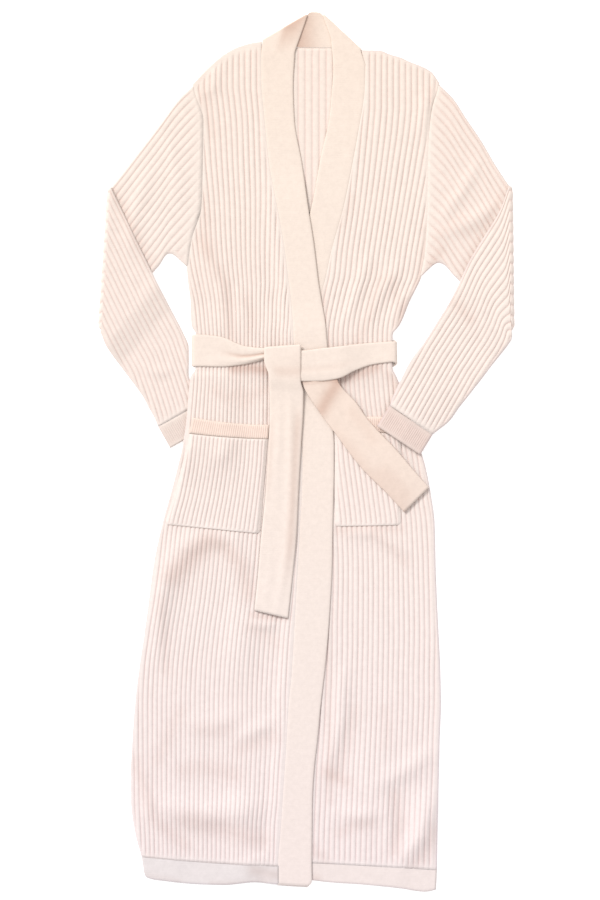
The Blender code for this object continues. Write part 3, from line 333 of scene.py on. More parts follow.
# Pockets: side edges of each, at mouth and foot.
RIGHT_POCKET = dict(mouth=(-169, -54), foot=(-211, -68))
LEFT_POCKET = dict(mouth=(43.5, 143), foot=(43.5, 143))
POCKET_CORNER = 6.0
POCKET_EDGE = 0.2     # height of a pocket's cut edge
POCKET_ROWS = 28
POCKET_TOP_ROWS = 9
TOP_CURL, TOP_CURL_LENGTH = 0.3, 12      # a pocket top rises towards the mouth

# One ring of a sleeve, from its top edge to its underarm edge, with the height of the
# middle between its two walls at the top edge, half way and the underarm edge.
Ring = namedtuple("Ring", "top_x top_y low_x low_y z_top z_mid z_low")
FLAT = KNIT + GAP / 2            # middle of a sleeve that lies on the surface
SLEEVE_TURN = 3.5                # radius of the middle at the elbow turn
FULL_RING = 6                    # forearm ring past which its top edge is under the body
FOLDED = FLAT + 2 * SLEEVE_TURN  # middle of the forearm where it lies on the upper arm
SETTLED = FOLDED - 1.9           # and at its inner edge, which settles onto the upper arm


def ring(*row):
    """A ring that lies on the surface, or at the one height or the three of its row."""
    heights = row[4:] or (FLAT,)
    return Ring(*row[:4], *(heights if len(heights) == 3 else heights * 3))


RIGHT_UPPER = [ring(*row) for row in (
    (-188.8, 529.5, -203, 297), (-218.8, 489.5, -221, 277), (-248.8, 450.5, -256, 239),
    (-275.8, 415.5, -284, 208),
)]
RIGHT_ELBOW = ((-291.5, 396), (-306, 182))
RIGHT_FOREARM = [ring(*row) for row in (
    (-272, 356, -307, 178, SETTLED, FOLDED, FOLDED), (-253, 316, -305, 173, SETTLED, FOLDED, FOLDED),
    (-233, 275, -303, 167, SETTLED, FOLDED, FOLDED), (-223, 254, -300, 160, FOLDED),
    (-212, 233, -289, 143, 5.5), (-199, 208, -277, 127), (-184, 179, -262, 107),
    (-175.5, 157, -250, 91), (-175.2, 140, -242, 79), (-175.5, 114, -235, 65), (-164.5, 95, -227, 51),
    (-155, 74, -221, 37),
)]
RIGHT_CUFF_END = ring(-137, 43, -203, 5)
LEFT_UPPER = [ring(*row) for row in (
    (221, 530, 199.5, 283), (240, 501, 224, 262), (263, 467, 251, 235), (284, 431, 280, 206),
)]
LEFT_ELBOW = ((305, 399), (307.5, 181))
LEFT_FOREARM = [ring(*row) for row in (
    (292, 363, 309, 178, SETTLED, FOLDED, FOLDED), (270, 326, 309.5, 173, SETTLED, FOLDED, FOLDED),
    (247, 289, 308.5, 168, SETTLED, FOLDED, FOLDED), (226, 244, 303, 159, FOLDED),
    (214, 221, 293, 146, 5.5), (199, 197, 281, 131), (178, 164, 262, 106, 3.0, FLAT, FLAT),
    (158, 137, 244, 83, 7.9, 4.5, FLAT), (145, 112, 229, 64, 9.5, 7.9, FLAT),
    (134, 90, 217, 47, 11.0, 9.6, 4.0), (126, 69, 190.5, 25.5, 12.0, 10.8, 6.0),
)]
LEFT_CUFF_END = ring(107, 38, 172, -5, 12.0, 11.8, 8.0)
TURN_STEPS = 12
ARMHOLE_POINTS = 60
PLACE_POINTS = 120
CUFF_SECTIONS = 12
CUFF_RIM = 0.5                   # how much a cuff's open end stands up
TURN_END = 9.0                   # the turn dies out over this length at both ends
SLEEVE_SEAM = 30                 # the armhole's shape dies out over this length
SLEEVE_INSET = 2.4               # how far a sleeve's inner sides stay off its edges
SLEEVE_EDGE = 0.15               # height of a wall at the edge, off the middle

# Belt stretches on the fronts: position along X, the two edges and the underside.
BeltSection = namedtuple("BeltSection", "x y_top y_bottom under")
BELT_UNDER = BELT_LIFT + FRONT_UNDER + CREST + GAP
BELT_RIGHT_STRETCH = [BeltSection(*row) for row in (
    (-158, 175.5, 127.5, BELT_UNDER), (-127, 172, 127, BELT_UNDER), (-94, 159, 130, BELT_UNDER),
    (-76, 156, 134, BELT_UNDER + 0.3), (-60, 155, 138, 9.2), (-34, 153, 139, 10.4),
)]
BELT_LEFT_STRETCH = [BeltSection(*row) for row in (
    (-29, 155, 108, 12.2), (-5, 151.5, 105, 13.9), (22, 154.5, 105.5, 13.9), (50, 157.5, 109.5, 13.9),
    (74, 160.5, 121, 11.0), (100, 163, 130, BELT_UNDER), (128, 165, 134, BELT_UNDER),
)]
# Both edges of the belt behind the waist, at the right and the left side.
BELT_BACK = ((174.5, 126.5), (167.0, 127.0))
BELT_TURN_X = (-165.5, 132.0)    # middle of the belt's turn round each side edge

# Free belt ends: both edges, x and y each, and the height of the underside along each.
HANGING_END = (
    (-62, 134, -7, 128, 16.8, 16.8), (-55, 112, -7, 106, 16.6, 16.6), (-54, 90, -3, 88, 12.5, 12.5),
    (-53.5, 62, -3.5, 60, 10.4, 10.4), (-55, 20, -6, 18, 10.0, 10.0), (-59, -50, -10, -52, 9.8, 9.8),
    (-67, -131, -14, -131, 8.6, 9.8), (-72, -190, -20, -192, 7.0, 9.2),
    (-77, -238, -26, -250, 6.6, 9.0),
)
# The hanging end comes over the knot's top edge; its steps are sixteenths of a half turn.
KNOT_ROLL = dict(y_a=153, y_b=157, centre=15.2, radius=2.8, steps=(10, 17))
SLANTED_END = (
    (-8, 113, 44, 119, 11.2, 11.2), (-4, 99, 50, 103, 11.0, 10.6), (18, 63, 76, 73, 9.6, 9.4),
    (43, 29, 92, 50, 9.4, 9.4), (85, -26, 135, 4, 9.4, 9.4), (121, -62, 163, -29, 8.9, 8.2),
    (148, -91, 185, -54, 7.2, 6.2),
)

# Colours of the cloth by height on the garment: cream at the top, pinker to the hem.
Tone = namedtuple("Tone", "y red green blue")
TONES = [
    Tone(-660, 0.712, 0.624, 0.603),
    Tone(-250, 0.727, 0.637, 0.593),
    Tone(60, 0.745, 0.642, 0.576),
    Tone(420, 0.748, 0.642, 0.564),
    Tone(660, 0.750, 0.632, 0.545),
]
# Each piece's share of them.
BAND_TONE = (1.0, 1.0, 1.0)
RIB_TONE = (1.01, 1.03, 1.06)        # ribbed cloth over plain cloth, which its grooves darken
# Painted shade: the right hem is greyer where it curls down, away from the light.
HEM_TONES_AND_SHADE = dict(right_hem=(0.92, 0.97, 1.01), left_hem=(0.98, 0.99, 1.0),
                 back_hem=(0.95, 0.95, 0.96))
CUFF_TONES = dict(right=(0.93, 0.93, 0.94), left=(0.92, 0.88, 0.89))
POCKET_TOP_TONE = (1.04, 1.01, 0.985)
SLANT_TONE = (0.985, 0.95, 0.925)
SHADE_TINTS = dict(                        # the colour is multiplied by these painted shade tints
    groove=(0.94, 0.86, 0.86),       # painted shade in a groove
    shade=(0.62, 0.43, 0.36),        # painted shade in creases, and painted shadow where two layers meet
    rim_shade=(0.86, 0.84, 0.88),          # and painted edge shade along the garment's outline
)
ROUGHNESS = 0.92
SHEEN = 0.25
STITCH = 0.5                         # strength of the stitch pattern
FINE_STITCH = 0.2

CAMERA = dict(x=-8.25, y=2.25, distance=7500.0, lens=200.0, sensor=36.0, clip=50.0)
FLOOR_SIZE = 30.0
FLOOR_GLOW = 0.42
FLOOR_DROP = 0.0004                  # keeps the floor clear of the cloth on it
WORLD_LIGHT = 0.79
KEY_LIGHT = dict(energy=2.45, spread=20, tilt_x=-32, tilt_y=-36)     # angles in degrees


def ease(value):
    """0 up to 0, 1 from 1 on, smooth between."""
    u = np.clip(value, 0.0, 1.0)
    return u * u * (3 - 2 * u)


def hump(value, width):
    """1 at 0, and less on both sides of it over about the width."""
    return np.exp(-(value / width) ** 2)


def smooth(points):
    """A curve through (at, value) points that never runs past them."""
    at, value = np.array(sorted(points), float).T
    step = np.diff(at)
    slope = np.diff(value) / step
    tangent = np.concatenate(([slope[0]], np.zeros(len(at) - 2), [slope[-1]]))
    before, after = slope[:-1], slope[1:]
    same = before * after > 0
    near, far = 2 * step[1:] + step[:-1], step[1:] + 2 * step[:-1]
    safe_before, safe_after = np.where(same, before, 1.0), np.where(same, after, 1.0)
    tangent[1:-1] = np.where(same, (near + far) / (near / safe_before + far / safe_after), 0.0)

    def curve(x):
        x = np.clip(x, at[0], at[-1])
        i = np.clip(np.searchsorted(at, x, side="right") - 1, 0, len(at) - 2)
        h = step[i]
        u = (x - at[i]) / h
        return ((1 + 2 * u) * (1 - u) ** 2 * value[i] + u * (1 - u) ** 2 * h * tangent[i]
                + u * u * (3 - 2 * u) * value[i + 1] + u * u * (u - 1) * h * tangent[i + 1])
    return curve


def sampled(rows, step, size=3, exact=True):
    """Smooth curves through rows of numbers, sampled about every step millimetres.

    The first columns are two edge points of that size; exact keeps the given rows too.
    """
    table = np.array(rows, float)
    middle = (table[:, :size] + table[:, size:2 * size]) / 2
    lengths = np.linalg.norm(np.diff(middle, axis=0), axis=1)
    at = np.concatenate(([0.0], np.cumsum(np.maximum(lengths, 0.5))))
    wanted = spread(0, at[-1], step)
    if exact:
        wanted = np.unique(np.concatenate((wanted, at)))
    return np.stack([smooth(list(zip(at, column)))(wanted) for column in table.T], 1)


def spread(low, high, step):
    """Even values from low to high, about a step apart."""
    return np.linspace(low, high, max(2, round((high - low) / step) + 1))


def plateau(value, low, full_low, full_high, high):
    """0 outside low..high, 1 between the two full values."""
    return ease((value - low) / (full_low - low)) * ease((high - value) / (high - full_high))


def lift(x, y):
    """How far the belt behind the waist and the tucked cuff raise the layers above them."""
    sideways = ease((TUCK_END_X - x) / (TUCK_END_X - TUCK_FULL_X))
    return np.maximum(BELT_LIFT * plateau(y, **WAIST), CUFF_LIFT * plateau(y, **TUCK) * sideways)


def billow(x, y):
    """Height of the soft hollow folds of the fronts."""
    total = 0.0 * x
    for at_x, at_y, reach_x, reach_y, height in BILLOWS:
        r = np.minimum(np.hypot((x - at_x) / reach_x, (y - at_y) / reach_y), 1.0)
        total = total + height * np.cos(r * np.pi / 2) ** 2
    return total


def beside(line, x, y):
    """Distance from a line through three points, and the share along it that is nearest."""
    best = np.full(np.shape(x), np.inf)
    at = 0.0 * x
    for k in (0, 1):
        ax, ay, bx, by = line[2 * k:2 * k + 4]
        size = (bx - ax) ** 2 + (by - ay) ** 2
        u = np.clip(((x - ax) * (bx - ax) + (y - ay) * (by - ay)) / size, 0, 1)
        d = np.hypot(x - ax - u * (bx - ax), y - ay - u * (by - ay))
        at = np.where(d < best, (k + u) / 2, at)
        best = np.minimum(d, best)
    return best, at


def folds(table, x, y):
    """Height of the soft ridges in a table."""
    total = 0.0 * x
    for *line, width, height in table:
        distance, at = beside(line, x, y)
        swell = 0.35 + 0.65 * np.sin(np.pi * np.clip(at, 0.0, 1.0)) ** 0.7
        total = total + height * swell * hump(distance, width)
    return total


def creases(table, x, y):
    """Depth of the painted shade along the crease lines in a table."""
    total = 0.0 * x
    for *line, width, tint in table:
        total = total + tint * hump(beside(line, x, y)[0], width)
    return total


def drift(a, b):
    """Slow unevenness from -1 to 1, the same each time."""
    return (np.sin(a * 0.93 + b * 0.41 + 1.3) + np.sin(a * 0.37 - b * 1.17 + 4.1)
            + np.sin(a * 1.71 + b * 0.23 + 2.6)) / 3


LAPPING_SEAM = smooth([(s.seam_y, s.seam_x) for s in LAPPING_BAND])
LAPPED_SEAM = smooth([LEFT_NECK_CORNER[::-1]] + [(s.seam_y, s.seam_x) for s in LAPPED_BAND])
LAPPING_UNDER = smooth([(s.seam_y, s.under) for s in LAPPING_BAND])


def right_front_under(x, y):
    """The right front lies on the back, and climbs to its band next to the seam."""
    base = FRONT_UNDER + lift(x, y) + billow(x, y) + folds(RIGHT_FOLDS, x, y)
    climb = ease((CLIMB_START - (LAPPING_SEAM(y) - x)) / CLIMB_LENGTH)
    return base + (LAPPING_UNDER(y) + lift(0 * x, y) - base) * climb


def left_front_under(x, y):
    return FRONT_UNDER + lift(x, y) + billow(x, y) + folds(LEFT_FOLDS, x, y)


def fill(tree, node, values):
    """Links each input of a node to the socket given for it, or else sets its value."""
    for key, value in values.items():
        if isinstance(value, bpy.types.NodeSocket):
            tree.links.new(value, node.inputs[key])
        else:
            node.inputs[key].default_value = value


def knit_material(name, tone, stitch):
    """Procedural knit: warm to pink by height on the garment, with painted shade in its grooves, in
    creases and along the outline.
    """
    material = bpy.data.materials.new(name)
    material.use_nodes = True
    tree = material.node_tree

    def add(kind, values, **settings):
        node = tree.nodes.new("ShaderNode" + kind)
        for key, value in settings.items():
            setattr(node, key, value)
        fill(tree, node, values)
        return node.outputs

    def multiplied(share, colour, by):
        return add("Mix", {0: share, 6: colour, 7: by}, data_type="RGBA", blend_type="MULTIPLY")[2]

    place = add("TexCoord", {})["Object"]
    low, high = TONES[0].y, TONES[-1].y
    span = add("MapRange", {"Value": add("SeparateXYZ", {0: place})["Y"], "From Min": low * MM,
                            "From Max": high * MM})
    ramp = tree.nodes.new("ShaderNodeValToRGB")
    fill(tree, ramp, {0: span[0]})
    elements = ramp.color_ramp.elements
    while len(elements) < len(TONES):
        elements.new(0.5)
    for element, base in zip(elements, TONES):
        element.position = (base.y - low) / (high - low)
        element.color = (base.red * tone[0], base.green * tone[1], base.blue * tone[2], 1.0)
    colour = ramp.outputs["Color"]
    for label, tint in SHADE_TINTS.items():
        share = add("Attribute", {}, attribute_name=label)["Fac"]
        colour = multiplied(share, colour, (*tint, 1.0))

    mottle = add("TexNoise", {"Vector": place, "Scale": 130.0, "Detail": 4.0, "Roughness": 0.7})
    uneven = add("MapRange", {"Value": mottle[0], "To Min": 0.90, "To Max": 1.10})
    yarn = add("TexNoise", {"Vector": place, "Scale": 420.0, "Detail": 3.0})
    rows = add("TexWave", {"Vector": place, "Scale": 95.0, "Distortion": 4.0, "Detail": 1.0},
               wave_type="BANDS", bands_direction="Y")
    both = add("Math", {0: rows[1], 1: 0.4, 2: yarn[0]}, operation="MULTIPLY_ADD")
    stitches = add("Bump", {"Strength": stitch, "Distance": 0.3 * MM, "Height": both[0]})
    fill(tree, tree.nodes["Principled BSDF"], {
        "Base Color": multiplied(1.0, colour, uneven[0]), "Roughness": ROUGHNESS,
        "Sheen Weight": SHEEN, "Sheen Roughness": 0.5, "Sheen Tint": (1.0, 0.95, 0.92, 1.0),
        "Specular IOR Level": 0.2, "Normal": stitches[0]})
    return material


class Skin:
    """Gathers the points and faces of one closed piece, row by row, in millimetres."""

    def __init__(self):
        self.blocks = []      # place and the three painted shade masks of each row's points
        self.faces = []
        self.hard = []
        self.count = 0

    def row(self, keys, x, y, z, groove=0.0, shade=0.0, rim_shade=0.0):
        """Adds a row of points and returns its keys and the first point's number."""
        x = np.asarray(x, float)
        values = (x, y, z, groove, shade, rim_shade)
        self.blocks.append(np.stack([np.broadcast_to(v, x.shape) for v in values], 1))
        start = self.count
        self.count += len(x)
        return (list(keys), start)

    def stitch(self, a, b):
        """Closes the strip between two rows, joining columns that have the same key."""
        (keys_a, first_a), (keys_b, first_b) = a, b
        last_a, last_b = len(keys_a) - 1, len(keys_b) - 1
        i = j = 0
        while i < last_a or j < last_b:
            key_a = keys_a[i + 1] if i < last_a else math.inf
            key_b = keys_b[j + 1] if j < last_b else math.inf
            if abs(key_a - key_b) < 1e-6:
                face = (first_a + i, first_a + i + 1, first_b + j + 1, first_b + j)
                i += 1
                j += 1
            elif key_a < key_b:
                face = (first_a + i, first_a + i + 1, first_b + j)
                i += 1
            else:
                face = (first_a + i, first_b + j + 1, first_b + j)
                j += 1
            self.faces.append(face)

    def cap(self, a, b):
        """Closes an end between two rows, with a hard edge round it."""
        start = len(self.faces)
        self.stitch(a, b)
        self.hard += range(start, len(self.faces))

    def shares(self, row):
        """A row with its keys as shares of its width."""
        keys, first = row
        x = np.concatenate(self.blocks)[first:first + len(keys), 0]
        return (((x - x[0]) / (x[-1] - x[0])).tolist(), first)

    def stack(self, *stacks):
        """Stitches the rows of each stack, from end to end."""
        for rows in stacks:
            for a, b in zip(rows, rows[1:]):
                self.stitch(a, b)

    def close_sides(self, outer, inner):
        """Walls along the first and last columns of two stacks of rows."""
        for k in range(len(outer) - 1):
            for last in (False, True):
                self.wall((outer[k], outer[k + 1], inner[k + 1], inner[k]), last)

    def wall(self, rows, last):
        """One face, through the first or the last points of four rows."""
        self.faces.append(tuple(first + (len(keys) - 1 if last else 0) for keys, first in rows))

    def close(self, outer, inner):
        """Makes one closed body of two stacks of rows."""
        self.stack(outer, inner)
        self.close_sides(outer, inner)
        for end in (0, -1):
            self.cap(self.shares(outer[end]), self.shares(inner[end]))

    def loops(self, rows):
        """Skins a run of closed cross-sections of equal size and caps both ends."""
        size = len(rows[0][0])
        for (_, a), (_, b) in zip(rows, rows[1:]):
            for k in range(size):
                n = (k + 1) % size
                self.faces.append((a + k, a + n, b + n, b + k))
        self.hard += [len(self.faces), len(self.faces) + 1]
        self.faces.append(tuple(rows[0][1] + k for k in range(size)))
        self.faces.append(tuple(rows[-1][1] + k for k in reversed(range(size))))

    def make(self, node, flat, held, rests_on, area=None, tone=BAND_TONE, stitch=STITCH):
        """Builds the piece, which stands for a node of the part."""
        name = node + "_cloth"
        mesh = bpy.data.meshes.new(name)
        points = np.concatenate(self.blocks)
        mesh.from_pydata((points[:, :3] * MM).tolist(), [], self.faces)
        for label, values in zip(("groove", "shade", "rim_shade"), points[:, 3:].T):
            layer = mesh.attributes.new(label, "FLOAT", "POINT")
            layer.data.foreach_set("value", values.astype(np.float32))
        soft = np.ones(len(self.faces), bool)
        soft[self.hard] = False
        mesh.polygons.foreach_set("use_smooth", soft)
        mesh.validate()
        face_outward(mesh)
        mesh.materials.append(knit_material(name, tone, stitch))
        piece = bpy.data.objects.new(name, mesh)
        bpy.context.scene.collection.objects.link(piece)
        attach(piece, "root")
        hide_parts(node)


def face_outward(mesh):
    """Turns all faces of a closed mesh outward."""
    bm = bmesh.new()
    bm.from_mesh(mesh)
    bmesh.ops.recalc_face_normals(bm, faces=bm.faces)
    bm.to_mesh(mesh)
    bm.free()


def rib_shape(phase):
    """1 on a crest, 0 in the narrow groove between two crests, by the rib count."""
    off = 2 * np.abs(phase - np.round(phase))
    return 1 - off ** 3.2


def rounded(distance, width=ROUND):
    """0 at a cloth edge, rising round to 1 at that distance from it."""
    u = np.clip(distance / width, 0.0, 1.0)
    return np.sqrt(1 - (1 - u) ** 2)


def columns(low, high, grain, pitch, margin, edge=EDGE_POINTS, points=RIB_POINTS):
    """Keys and places across, following the ribs between the two rounded edges."""
    first, last = math.floor((low - grain) / pitch), math.ceil((high - grain) / pitch)
    phases = np.add.outer(np.arange(first, last + 1), points).ravel()
    x = grain + phases * pitch
    keep = (x > low + margin) & (x < high - margin)
    edge = np.array(edge)
    ends = np.arange(len(edge))
    keys = np.concatenate((ends - EDGE_KEY, phases[keep], ends + EDGE_KEY))
    return keys, np.concatenate((low + edge, x[keep], (high - edge)[::-1]))


def bent(a, middle, b, xa, xb):
    """A height that runs from a at xa, through middle, to b at xb."""
    def height(x):
        u = (x - xa) / (xb - xa)
        return a * (1 - u) * (1 - 2 * u) + middle * 4 * u * (1 - u) + b * u * (2 * u - 1)
    return height


# One course of a panel: its ends, its height at any x, and its ribs.
Row = namedtuple("Row", "low high height grain pitch")


class Front:
    """The courses of a front as smooth curves; side is -1 where its side seam is at low x."""

    def __init__(self, courses, seam, shoulder, side):
        self.courses = courses
        self.curves = {name: smooth([(c.y_mid, getattr(c, name)) for c in courses])
                       for name in Course._fields}
        self.seam = seam
        self.side = side
        self.shoulder = smooth(shoulder)
        self.corner = shoulder[-1 if side < 0 else 0][1]

    def row(self, y_mid):
        c = {name: float(curve(y_mid)) for name, curve in self.curves.items()}
        band = float(self.seam(c["y_band"])) - self.side * TUCK_IN
        height = bent(c["y_side"], c["y_mid"], c["y_band"], c["side"], band)
        low, high = sorted((c["side"], band))
        return Row(low, high, height, c["grain"], c["pitch"])

    def rows(self):
        """From the hem to the top of the armhole, and from there to the shoulder."""
        first, last = self.courses[0].y_mid, self.courses[-1].y_mid
        rows = [self.row(y) for y in spread(first, last, COURSE_STEP)]
        top = rows[-1]
        seam_x = float(self.seam(self.corner)) - self.side * TUCK_IN
        low, high = sorted((self.courses[-1].side, seam_x))
        for share in SHOULDER_STEPS:
            rows.append(top._replace(low=top.low + (low - top.low) * share,
                                     high=top.high + (high - top.high) * share,
                                     height=self.toward_shoulder(top.height, share)))
        return rows

    def toward_shoulder(self, height, share):
        return lambda x: height(x) + (self.shoulder(x) - height(x)) * share


def panel(rows, under, sink, rib, rim_shade=lambda x, y, row: 0 * x, shade=lambda x, y: 0 * x,
          edge_height=KNIT / 2):
    """A closed panel: ribs in its outer points, over a plain inner side.

    sink lowers the whole cloth towards an edge, from 0 to 1, rib fades its ribs there, the edge shade
    function is 1 along the outline of the garment, and shade is 1 in the depth of a crease; both
    paint shade.
    """
    skin = Skin()
    outer, inner = [], []
    for row in rows:
        keys, x = columns(row.low, row.high, row.grain, row.pitch, EDGE_POINTS[-1] + 0.5)
        y = row.height(x)
        edge = np.minimum(x - row.low, row.high - x)
        phase = (x - row.grain) / row.pitch
        groove = 1 - rib_shape(phase + 0.05 * drift(phase * 1.9, y / 31))
        strength = ease((edge - PLAIN_EDGE) / RIB_RISE) * rib(x, y)
        deep = SKIRT_DEPTH + (RIB_DEPTH - SKIRT_DEPTH) * ease(y / SKIRT_END)
        deep = deep * (1 + 0.14 * drift(phase * 2.3, y / 47))
        top = CREST - groove * strength * deep - (1 - strength) * 0.5 * RIB
        full = rounded(edge) * (1 - sink(x, y, edge))
        z = under(x, y) + edge_height + (top - edge_height) * full
        outer.append(skin.row(keys, x, y, z, groove * strength, shade(x, y), rim_shade(x, y, row)))
        count = max(3, round((row.high - row.low) / INNER_STEP))
        x = np.linspace(row.low, row.high, count + 1)
        y = row.height(x)
        inner.append(skin.row(np.arange(count + 1) / count, x, y, under(x, y)))
    skin.close(outer, inner)
    return skin


def make_fronts(right, left):
    """The two ribbed fronts, with a plain strip along each shoulder."""
    for side, front, under, plain, table in (
            ("right", right, right_front_under, 9.0, RIGHT_CREASES),
            ("left", left, left_front_under, 2.5, LEFT_CREASES)):
        rows = front.rows()
        hem = rows[0].height

        def sink(x, y, edge):
            return 1 - rounded(front.shoulder(x) - y, 4.0)

        def rib(x, y):
            return ease((front.shoulder(x) - y - plain) / 5) * ease((y - hem(x) - 1) / 9)

        # Painted edge shade along the side seam below the underarm, and along the shoulder above it.
        def rim_shade(x, y, row):
            side_gap = x - row.low if front.side < 0 else row.high - x
            low = y < front.courses[UNDERARM].y_mid
            gap = np.where(low, side_gap, front.shoulder(x) - y)
            return RIM_SHADE_SHARE[side] * (1 - ease(gap / RIM))

        def shade(x, y):
            return creases(table, x, y)
        skin = panel(rows, under, sink, rib, rim_shade, shade)
        skin.make(side + "_front", (0.235, 1.24), "laid", ["back_panel_cloth"], area=0.245,
                  tone=RIB_TONE)


def make_back(right, left):
    """The back lies face down, ribbed on both sides."""
    skin = Skin()
    upper, lower = [], []
    outline = smooth(RIGHT_SHOULDER + BACK_NECK + LEFT_SHOULDER)
    stations = [(s, 0.0) for s in np.linspace(0, 1, BACK_ROWS)] + [(1.0, t) for t in BACK_STEPS]
    for share, rise in stations:
        ends = []
        for front in (right, left):
            a, b = front.courses[0].y_mid, front.courses[-1].y_mid
            ends += [float(front.curves[n](a + (b - a) * share)) for n in ("side", "y_side")]
        low, y_low, high, y_high = ends
        low, high = low + 1.0, high - 1.0
        keys, x = columns(low, high, BACK_GRAIN, INNER_PITCH, 3)
        y = y_low + (y_high - y_low) * (x - low) / (high - low)
        y = y + (outline(x) - SEAM - y) * rise
        count = (x - BACK_GRAIN) / INNER_PITCH
        near = np.minimum(np.minimum(x - low, high - x), outline(x) - y)
        strength = ease((near - 1.0) / 4)
        full = 0.5 + 0.5 * rounded(near, 2.0)
        groove, other = ((1 - rib_shape(count + half)) * strength for half in (0, 0.5))
        base = lift(x, y)
        top = base + KNIT * full - BACK_DEPTH * groove * 0.9
        upper.append(skin.row(keys, x, y, top, groove))
        lower.append(skin.row(keys, x, y, base + KNIT * (1 - full) * 0.9 + 0.7 * other, other))
    skin.close(upper, lower)
    skin.make("back_panel", (0.46, 1.25), "laid", ["floor"], area=0.5, tone=RIB_TONE)


def none_across(share, t, x, y):
    return 0.0 * t


def ribbon(sections, thickness=BAND, relief=none_across, shade=none_across, across=15,
           rim_shade=lambda t, width: 0.0 * t, sewn=False):
    """A flat strip with rounded edges, through sections of nine numbers.

    A section gives both edge points of its outer side and the direction from there to the
    inner side. Only its second edge is rounded where the first is sewn to another piece.
    relief raises the outer side, and shade paints shade on it, at shares along and across; the
    edge shade function paints edge shade by share across and width.
    """
    skin = Skin()
    rows = []
    for k, section in enumerate(np.array(sections, float)):
        a, b, inward = section.reshape(3, 3)
        width = float(np.linalg.norm(b - a))
        edge = np.array(STRIP_EDGE) / width
        middle = np.linspace(BAND_ROUND / width, 1 - BAND_ROUND / width, across)
        t = np.concatenate((edge, middle, 1 - edge[::-1]))
        full = rounded((1 - t if sewn else np.minimum(t, 1 - t)) * width, BAND_ROUND)
        place = (k / (len(sections) - 1), t, a[0] + t * (b - a)[0], a[1] + t * (b - a)[1])
        outside = EDGE_DROP * thickness * (1 - full) - relief(*place) * full
        inside = thickness - (1 - EDGE_DROP) * thickness * (1 - full)
        dark = shade(*place)
        t, depth, dark = (np.concatenate((there, back[-2:0:-1]))
                          for there, back in ((t, t), (outside, inside), (dark, dark)))
        points = a + np.outer(t, b - a) + np.outer(depth, inward)
        rows.append(skin.row(range(len(t)), *points.T, shade=dark, rim_shade=rim_shade(t, width)))
    skin.loops(rows)
    return skin


def turned(line, outward, radius, centre, angle):
    """A section on a roll about a level line; the angle runs from below to above."""
    sideways, upright = math.sin(angle), -math.cos(angle)
    shift = (radius + HALF_BAND) * sideways
    z = centre + (radius + HALF_BAND) * upright
    a, b = [(p[0] + outward[0] * shift, p[1] + outward[1] * shift, z) for p in line]
    return (*a, *b, -outward[0] * sideways, -outward[1] * sideways, -upright)


def unit(x, y):
    size = math.hypot(x, y)
    return (x / size, y / size)


def make_front_band():
    """One long strip: up the right front, round the neck, down the left front."""
    def run(table, step, by, face_up):
        at = [getattr(s, by) for s in table]
        curves = {f: smooth([(getattr(s, by), getattr(s, f)) for s in table])
                  for f in BandSection._fields if f != by}
        wanted = spread(min(at), max(at), step)
        rows = []
        for value in (wanted if sorted(at) == at else wanted[::-1]):
            s = {f: float(c(value)) for f, c in curves.items()}
            s[by] = float(value)
            z = s["under"] if face_up else s["under"] + float(lift(0.0, s["seam_y"])) + BAND
            way = 1 if face_up else -1
            rows.append((s["seam_x"], s["seam_y"], z, s["free_x"], s["free_y"], z, 0, 0, way))
        return rows

    def roll(line, sign, angles):
        d = unit(line[1][0] - line[0][0], line[1][1] - line[0][1])
        outward = (-d[1] * sign, d[0] * sign)
        return [turned(line, outward, TURN_RADIUS, HALF_BAND + TURN_RADIUS, a) for a in angles]

    def relief(share, t, x, y):
        return 0.25 * drift(y / 60, t * 3)

    def shade(share, t, x, y):
        """The inside of the neck is darker, most at the wearer's right."""
        neck = ease((y - 600) / 8) * ease((x + 42) / 16) * ease((34 - x) / 50)
        return np.maximum(0.6 * neck, creases(BAND_CREASES, x, y))

    steps = [math.pi * k / ROLL_STEPS for k in range(ROLL_STEPS + 1)]
    rows = run(LAPPING_BAND, BAND_STEP, "seam_y", False) + roll(RIGHT_TURN, 1, steps[::-1])
    rows += run(NECK_BAND, NECK_STEP, "seam_x", True) + roll(LEFT_TURN, -1, steps)
    rows += run(LAPPED_BAND, BAND_STEP, "seam_y", False)
    ribbon(rows, relief=relief, shade=shade).make(
        "front_band", (0.052, 2.66), "folded", ["right_front_cloth", "back_panel_cloth"])


def hem_strip(name, seam_ends, edge_ends, seam, edge, under, thick, flat, rests_on):
    """A plain strip between the last row of a panel and the garment's hem edge.

    It starts a little way up under the panel.
    """
    rows = []
    for share in np.linspace(0, 1, HEM_SECTIONS):
        row = []
        for (a, b), height, tuck in ((seam_ends, seam, HEM_TUCK), (edge_ends, edge, 0)):
            x = np.array(a + (b - a) * share)
            y = height(x) + tuck
            row += [float(x), float(y), float(under(x, y)) + thick]
        rows.append((*row, 0, 0, -1))

    # Painted edge shade along the hem's free edge.
    def rim_shade(t, width):
        return HEM_RIM_SHADE_SHARE * (1 - ease((1 - t) * width / RIM))

    def shade(share, t, x, y):
        return creases(HEM_CREASES, x, y)
    skin = ribbon(rows, thickness=thick, shade=shade, rim_shade=rim_shade, sewn=True)
    skin.make(name, flat, "laid", rests_on, tone=HEM_TONES_AND_SHADE[name])


